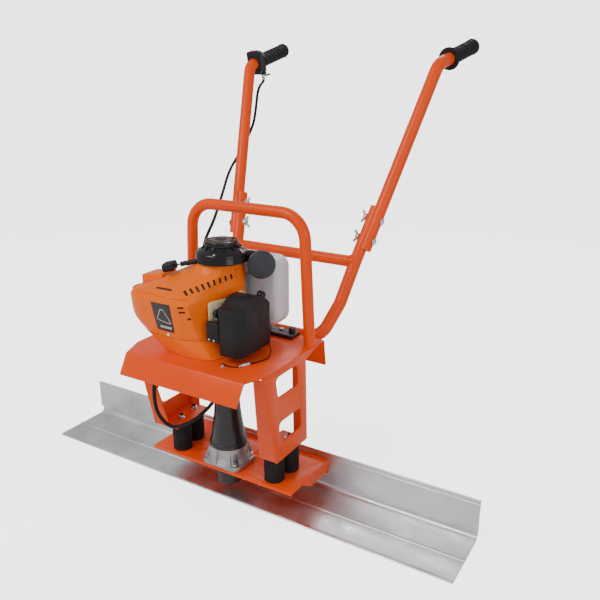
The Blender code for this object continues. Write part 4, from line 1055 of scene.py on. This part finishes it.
# ------------------------------------------------------------ recoil starter
# Gloss black housing with a stepped dome, screws in its flange, the rope's
# snout, a moulded pull grip and the braided rope between them.
base = starter_low
dome = [(0, base + 0.0455), (0.010, base + 0.0455), (0.0115, base + 0.0462), (0.028, base + 0.0468),
        (0.0300, base + 0.0458), (0.0335, base + 0.0458), (0.0350, base + 0.0470), (0.0385, base + 0.0462),
        (0.0398, base + 0.0440), (0.0400, base + 0.0370), (0.0385, base + 0.0345), (0.0400, base + 0.0325),
        (0.0470, base + 0.0285), (0.0555, base + 0.0235), (0.0580, base + 0.0212), (0.0588, base + 0.0185),
        (0.0592, base + 0.0050), (0.0600, base + 0.0036), (0.0600, base + 0.0004),
        (0.0596, base), (0.054, base), (0.053, base + 0.015), (0.0375, base + 0.031), (0.0365, base + 0.042),
        (0, base + 0.044)]
starter = turned("starter_dome", dome, black_gloss, matrix=AXIS, count=96, stands_for=["starter_housing"],
                 slot="black_plastic", sharp=30)
rope_way = Vector((-0.905, -0.3626, -0.22)).normalized()
rope_seat = Vector((-0.0850, -0.1132, 0.5960))
carve(starter, round_bar(rope_seat - rope_way * 0.095, rope_seat, 0.0060, 32))
snout = piece("starter_snout", swept([rope_seat - rope_way * d for d in (0.060, 0.040, 0.014)], 0.0058, 32),
              black_grain, slot="black_plastic", edges=0.0012)
carve(snout, round_bar(rope_seat - rope_way * 0.095, rope_seat, 0.0026, 24))
for k in range(4):
    turn = math.radians(20 + 90 * k)
    spot = Vector((0.0535 * math.cos(turn), SHAFT_Y + 0.0535 * math.sin(turn), base + 0.0240))
    screw("starter_screw_%d" % (k + 1), Matrix.Translation(spot), 0.0034, 0.0014, 0.0024, 0.0022)
for k in range(12):
    turn = math.radians(30 * k + 15)
    out = Vector((math.cos(turn), math.sin(turn), 0))
    spot = Vector((0, SHAFT_Y, base + 0.0330)) + out * 0.0420
    piece("starter_vent_%d" % (k + 1), block((-0.0045, -0.0014, -0.0012), (0.0045, 0.0014, 0.0016),
                                             towards(spot, Vector((out.x, out.y, 1.1)))
                                             @ Matrix.Rotation(math.pi / 2, 4, "Z")), black_grain,
          slot="black_plastic", edges=0.0006)
grip_frame = towards(rope_seat, rope_way)
grip_outline = rounded(rectangle((-0.019, -0.010), (0.019, 0.010)), 0.007, 5)
piece("starter_pull_grip", prism(grip_outline, 0.0003, 0.026, "Z", grip_frame), black_grain, "starter_grip",
      ["starter_grip"], "black_plastic", edges=0.0028, steps=4)
rope = piece("starter_rope_braid", swept([rope_seat - rope_way * (0.080 - 0.080 * k / 24)
                                          for k in range(25)], 0.0018, 16), rubber,
             stands_for=["starter_rope"], slot="black_plastic")
rope.parent = None
del rope["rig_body"]
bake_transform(rope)

# ------------------------------------------------------------------ fuel tank
# Translucent white blow-moulded tank with a pinch seam, on a bolted black
# bracket. A black filler arm runs over to it, and a black collar carries the
# dark grey screw cap with its finger rib and fluted edge.
tank_white = finish("natural_polyethylene", (0.80, 0.82, 0.86), (0.72, 0.74, 0.79), 0.30, 0.42,
                    (240, 0.0003), 9)
tank_shader = tank_white.node_tree.nodes["Principled BSDF"]
tank_shader.inputs["Subsurface Weight"].default_value = 0.25
tank_shader.inputs["Subsurface Scale"].default_value = 0.01
tank_outline = rounded(rectangle((-0.090, 0.438), (0.104, 0.604)), 0.027, 10)
piece("fuel_tank_shell", prism(tank_outline, 0.018, 0.080, "Y"), tank_white, stands_for=["fuel_tank"],
      slot="white_tank", edges=0.013, steps=6)
seam_outline = rounded(rectangle((-0.0912, 0.4368), (0.1052, 0.6052)), 0.028, 10)
piece("tank_seam", prism(seam_outline, 0.0480, 0.0500, "Y"), tank_white, slot="white_tank", edges=0.0006)
piece("filler_arm", swept([Vector(p) for p in ((0.040, -0.030, 0.6200), (0.0560, -0.0120, 0.6180),
                                               (0.0720, 0.0060, 0.6120))], 0.0095, 24), black_grain,
      slot="black_plastic", edges=0.003)
cap_way = Vector((0.50, -0.80, 0.20)).normalized()
cap_seat = Vector((0.063, 0.020, 0.590)) + cap_way * 0.0363
turned("filler_collar", [(0, -0.048), (0.0290, -0.048), (0.0275, -0.030), (0.0262, -0.008), (0.0250, -0.0004),
                         (0, -0.0004)], black_grain, matrix=towards(cap_seat, cap_way), count=64,
       slot="white_tank")
cap_grey = finish("cap_plastic", (0.032, 0.032, 0.038), (0.022, 0.022, 0.027), 0.34, 0.50, (1300, 0.0003), 25)
cap_bm = lathe([(0, 0), (0.0312, 0), (0.0322, 0.0015), (0.0322, 0.0115), (0.0312, 0.0135), (0.0285, 0.0150),
                (0.0270, 0.0146), (0.0255, 0.0150), (0.0100, 0.0163), (0, 0.0163)], None, 120)
for vert in cap_bm.verts:
    if math.hypot(vert.co.x, vert.co.y) > 0.0310:
        grow = 1 + 0.010 * math.cos(math.atan2(vert.co.y, vert.co.x) * 30)
        vert.co.x *= grow
        vert.co.y *= grow
cap_bm.transform(towards(cap_seat, cap_way))
piece("fuel_cap_disc", cap_bm, cap_grey, "fuel_cap", ["fuel_cap"], "black_plastic", sharp=30)
piece("fuel_cap_rib", block((-0.0022, -0.0250, 0.0140), (0.0022, 0.0250, 0.0166), towards(cap_seat, cap_way)),
      cap_grey, "fuel_cap", slot="black_plastic", edges=0.0009)
dressed("tank_bracket_skin", "tank_bracket", black_paint, 0.0012, slot="black_plastic")
turned("bracket_boss", [(0, 0), (0.0085, 0), (0.0085, 0.009), (0.0070, 0.0120), (0, 0.0130)], black_paint,
       matrix=Matrix.Translation((0.108, 0.078, 0.4090)), count=36, slot="black_plastic")
nut("bracket_bolt", (0.076, 0.080, 0.4091), (0, 0, 1), 0.0062, 0.0045, zinc)

# ---------------------------------------------------------------- air intake
# Cream insulator on the cover's side, carburettor, and the grained black air
# cleaner with its wavy top, retaining knob, clip block and choke knob.
cream = finish("cream_insulator", (0.76, 0.64, 0.36), (0.66, 0.54, 0.28), 0.42, 0.6, (500, 0.0003), 25)
dressed("insulator_plate", "insulator", cream, 0.0012, slot="cream_plastic", steps=3)
dressed("carburettor_body", "carburettor", cast_grey, 0.0015, slot="cast_alloy")
low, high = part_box("air_cleaner_cover")
plan = rounded(rectangle(low, high), [0.010, 0.026, 0.014, 0.006], 8)
cleaner_bm = prism(plan, low.z, high.z + 0.004)
cleaner = piece("air_cleaner_body", cleaner_bm, black_grain, stands_for=["air_cleaner_cover"],
                slot="black_plastic")
top_line = [(-0.170, 0.600), (-0.170, 0.527), (-0.150, 0.5275), (-0.139, 0.5285)]
for k in range(1, 9):
    t = k / 8
    top_line.append((-0.139 + 0.042 * t, 0.5285 + 0.0185 * t * t * (3 - 2 * t)))
top_line += [(-0.075, 0.5462), (-0.055, 0.5385), (-0.040, 0.5270), (-0.030, 0.5175), (-0.024, 0.512),
             (-0.010, 0.505), (-0.010, 0.600)]
carve(cleaner, prism(top_line, 0.03, 0.14, "X"))
break_edges(cleaner, 0.0045, 5, 40)
cleaner.data.shade_smooth()
cleaner.data.set_sharp_from_angle(angle=math.radians(50))
knob_frame = towards((low.x, -0.1370, 0.5110), (-1, 0, 0))
turned("cleaner_knob", [(0, -0.002), (0.0050, -0.002), (0.0050, 0.004), (0.0088, 0.0045), (0.0095, 0.006),
                        (0.0095, 0.012), (0.0085, 0.0135), (0, 0.0140)], black_grain, matrix=knob_frame,
       count=48, slot="black_plastic")
piece("cleaner_clip", block((0.026, -0.1500, 0.446), (0.0600, -0.1360, 0.492)), black_grain,
      slot="black_plastic", edges=0.003, steps=4)
for k, (x, z) in enumerate(((0.0340, 0.4520), (0.0470, 0.4515))):
    screw("clip_screw_%d" % (k + 1), towards((x, -0.1500, z), (0, -1, 0)), 0.0026, 0.0008, 0.0016, 0.0014, 20)
choke_seat = Vector((0.0900, -0.0340, 0.5218))
choke_way = Vector((0.0, 0.65, 0.76)).normalized()
choke_bm = lathe([(0, 0), (0.004, 0), (0.004, 0.006), (0.0094, 0.0062), (0.0104, 0.0078), (0.0100, 0.0165),
                  (0.0085, 0.0186), (0.0030, 0.0190), (0, 0.0190)], None, 72)
for vert in choke_bm.verts:
    if math.hypot(vert.co.x, vert.co.y) > 0.009:
        grow = 1 - 0.05 * max(0.0, math.cos(math.atan2(vert.co.y, vert.co.x) * 9))
        vert.co.x *= grow
        vert.co.y *= grow
choke_bm.transform(towards(choke_seat, choke_way))
piece("choke_knob_cap", choke_bm, black_gloss, "choke_knob", ["choke_knob"], "black_plastic")
turned("intake_gasket", [(0, 0), (0.0185, 0), (0.0195, 0.001), (0.0195, 0.006), (0.0185, 0.007),
                         (0, 0.007)], cream, matrix=towards((0.0540, -0.0600, 0.5240), (1, 0, 0)),
       count=48, slot="cream_plastic")

# ------------------------------------------------------------- loose wiring
# Stop-switch lead from the engine along the deck, with its bullet joint, and
# the deck's earth screw.
lead = [(0.1120, -0.0450, 0.4240), (0.1240, -0.0480, 0.4230), (0.1340, -0.0560, 0.4120),
        (0.1375, -0.0720, 0.4030), (0.1320, -0.0960, 0.4022), (0.1240, -0.1160, 0.4030),
        (0.1215, -0.1210, 0.4030)]
piece("stop_lead", swept(smooth_line(lead), 0.0013, 12), rubber, slot="black_rubber")
joint_way = Vector((-0.42, -0.90, 0.0)).normalized()
joint_seat = Vector((0.1215, -0.1210, 0.4030))
piece("bullet_sleeve", swept([joint_seat + joint_way * d for d in (0, 0.010, 0.020)], 0.0030, 20), plate_pale,
      slot="black_rubber", edges=0.0005)
piece("bullet_pin", swept([joint_seat + joint_way * d for d in (0.020, 0.024, 0.028)], 0.0019, 20), zinc,
      slot="zinc", edges=0.0004)
second = [joint_seat + joint_way * 0.028, (0.1040, -0.1500, 0.4022), (0.0900, -0.1540, 0.4022),
          (0.0780, -0.1550, 0.4050), (0.0740, -0.1555, 0.4060)]
piece("earth_lead", swept(smooth_line(second), 0.0012, 12), rubber, slot="black_rubber")
washer("earth_washer", (0.0740, -0.1560, deck_top + 0.0001), (0, 0, 1), 0.0065, 0.0020, 0.0010, zinc)
nut("earth_screw", (0.0740, -0.1560, deck_top + 0.0011), (0, 0, 1), 0.0045, 0.0035, zinc)
for k in (1, 2):
    nodes["flange_bolt_%d" % k].data.materials[0] = zinc


# --------------------------------------------------------------------- floor
# A sheet of white studio paper under the blade. Its glow is only for the
# camera, so that the paper meets the surround and the shadow stays soft.
def make_floor():
    bm = bmesh.new()
    bmesh.ops.create_grid(bm, x_segments=1, y_segments=1, size=12)
    mesh = bpy.data.meshes.new("floor")
    bm.to_mesh(mesh)
    bm.free()
    floor = bpy.data.objects.new("floor", mesh)
    scene.collection.objects.link(floor)
    floor.location.z = -0.0005
    paper = finish("studio_paper", (0.93, 0.93, 0.93), (0.90, 0.90, 0.90), 0.75, 0.9, (60, 0.0002), 2)
    glow_seen = 2.6
    glow = paper.node_tree
    eye = glow.nodes.new("ShaderNodeLightPath")
    lift = glow.nodes.new("ShaderNodeMath")
    lift.operation = "MULTIPLY"
    lift.inputs[1].default_value = glow_seen
    glow.links.new(eye.outputs["Is Camera Ray"], lift.inputs[0])
    glow.links.new(lift.outputs[0], glow.nodes["Principled BSDF"].inputs["Emission Strength"])
    glow.nodes["Principled BSDF"].inputs["Emission Color"].default_value = (1, 1, 1, 1)
    mesh.materials.append(paper)


make_floor()
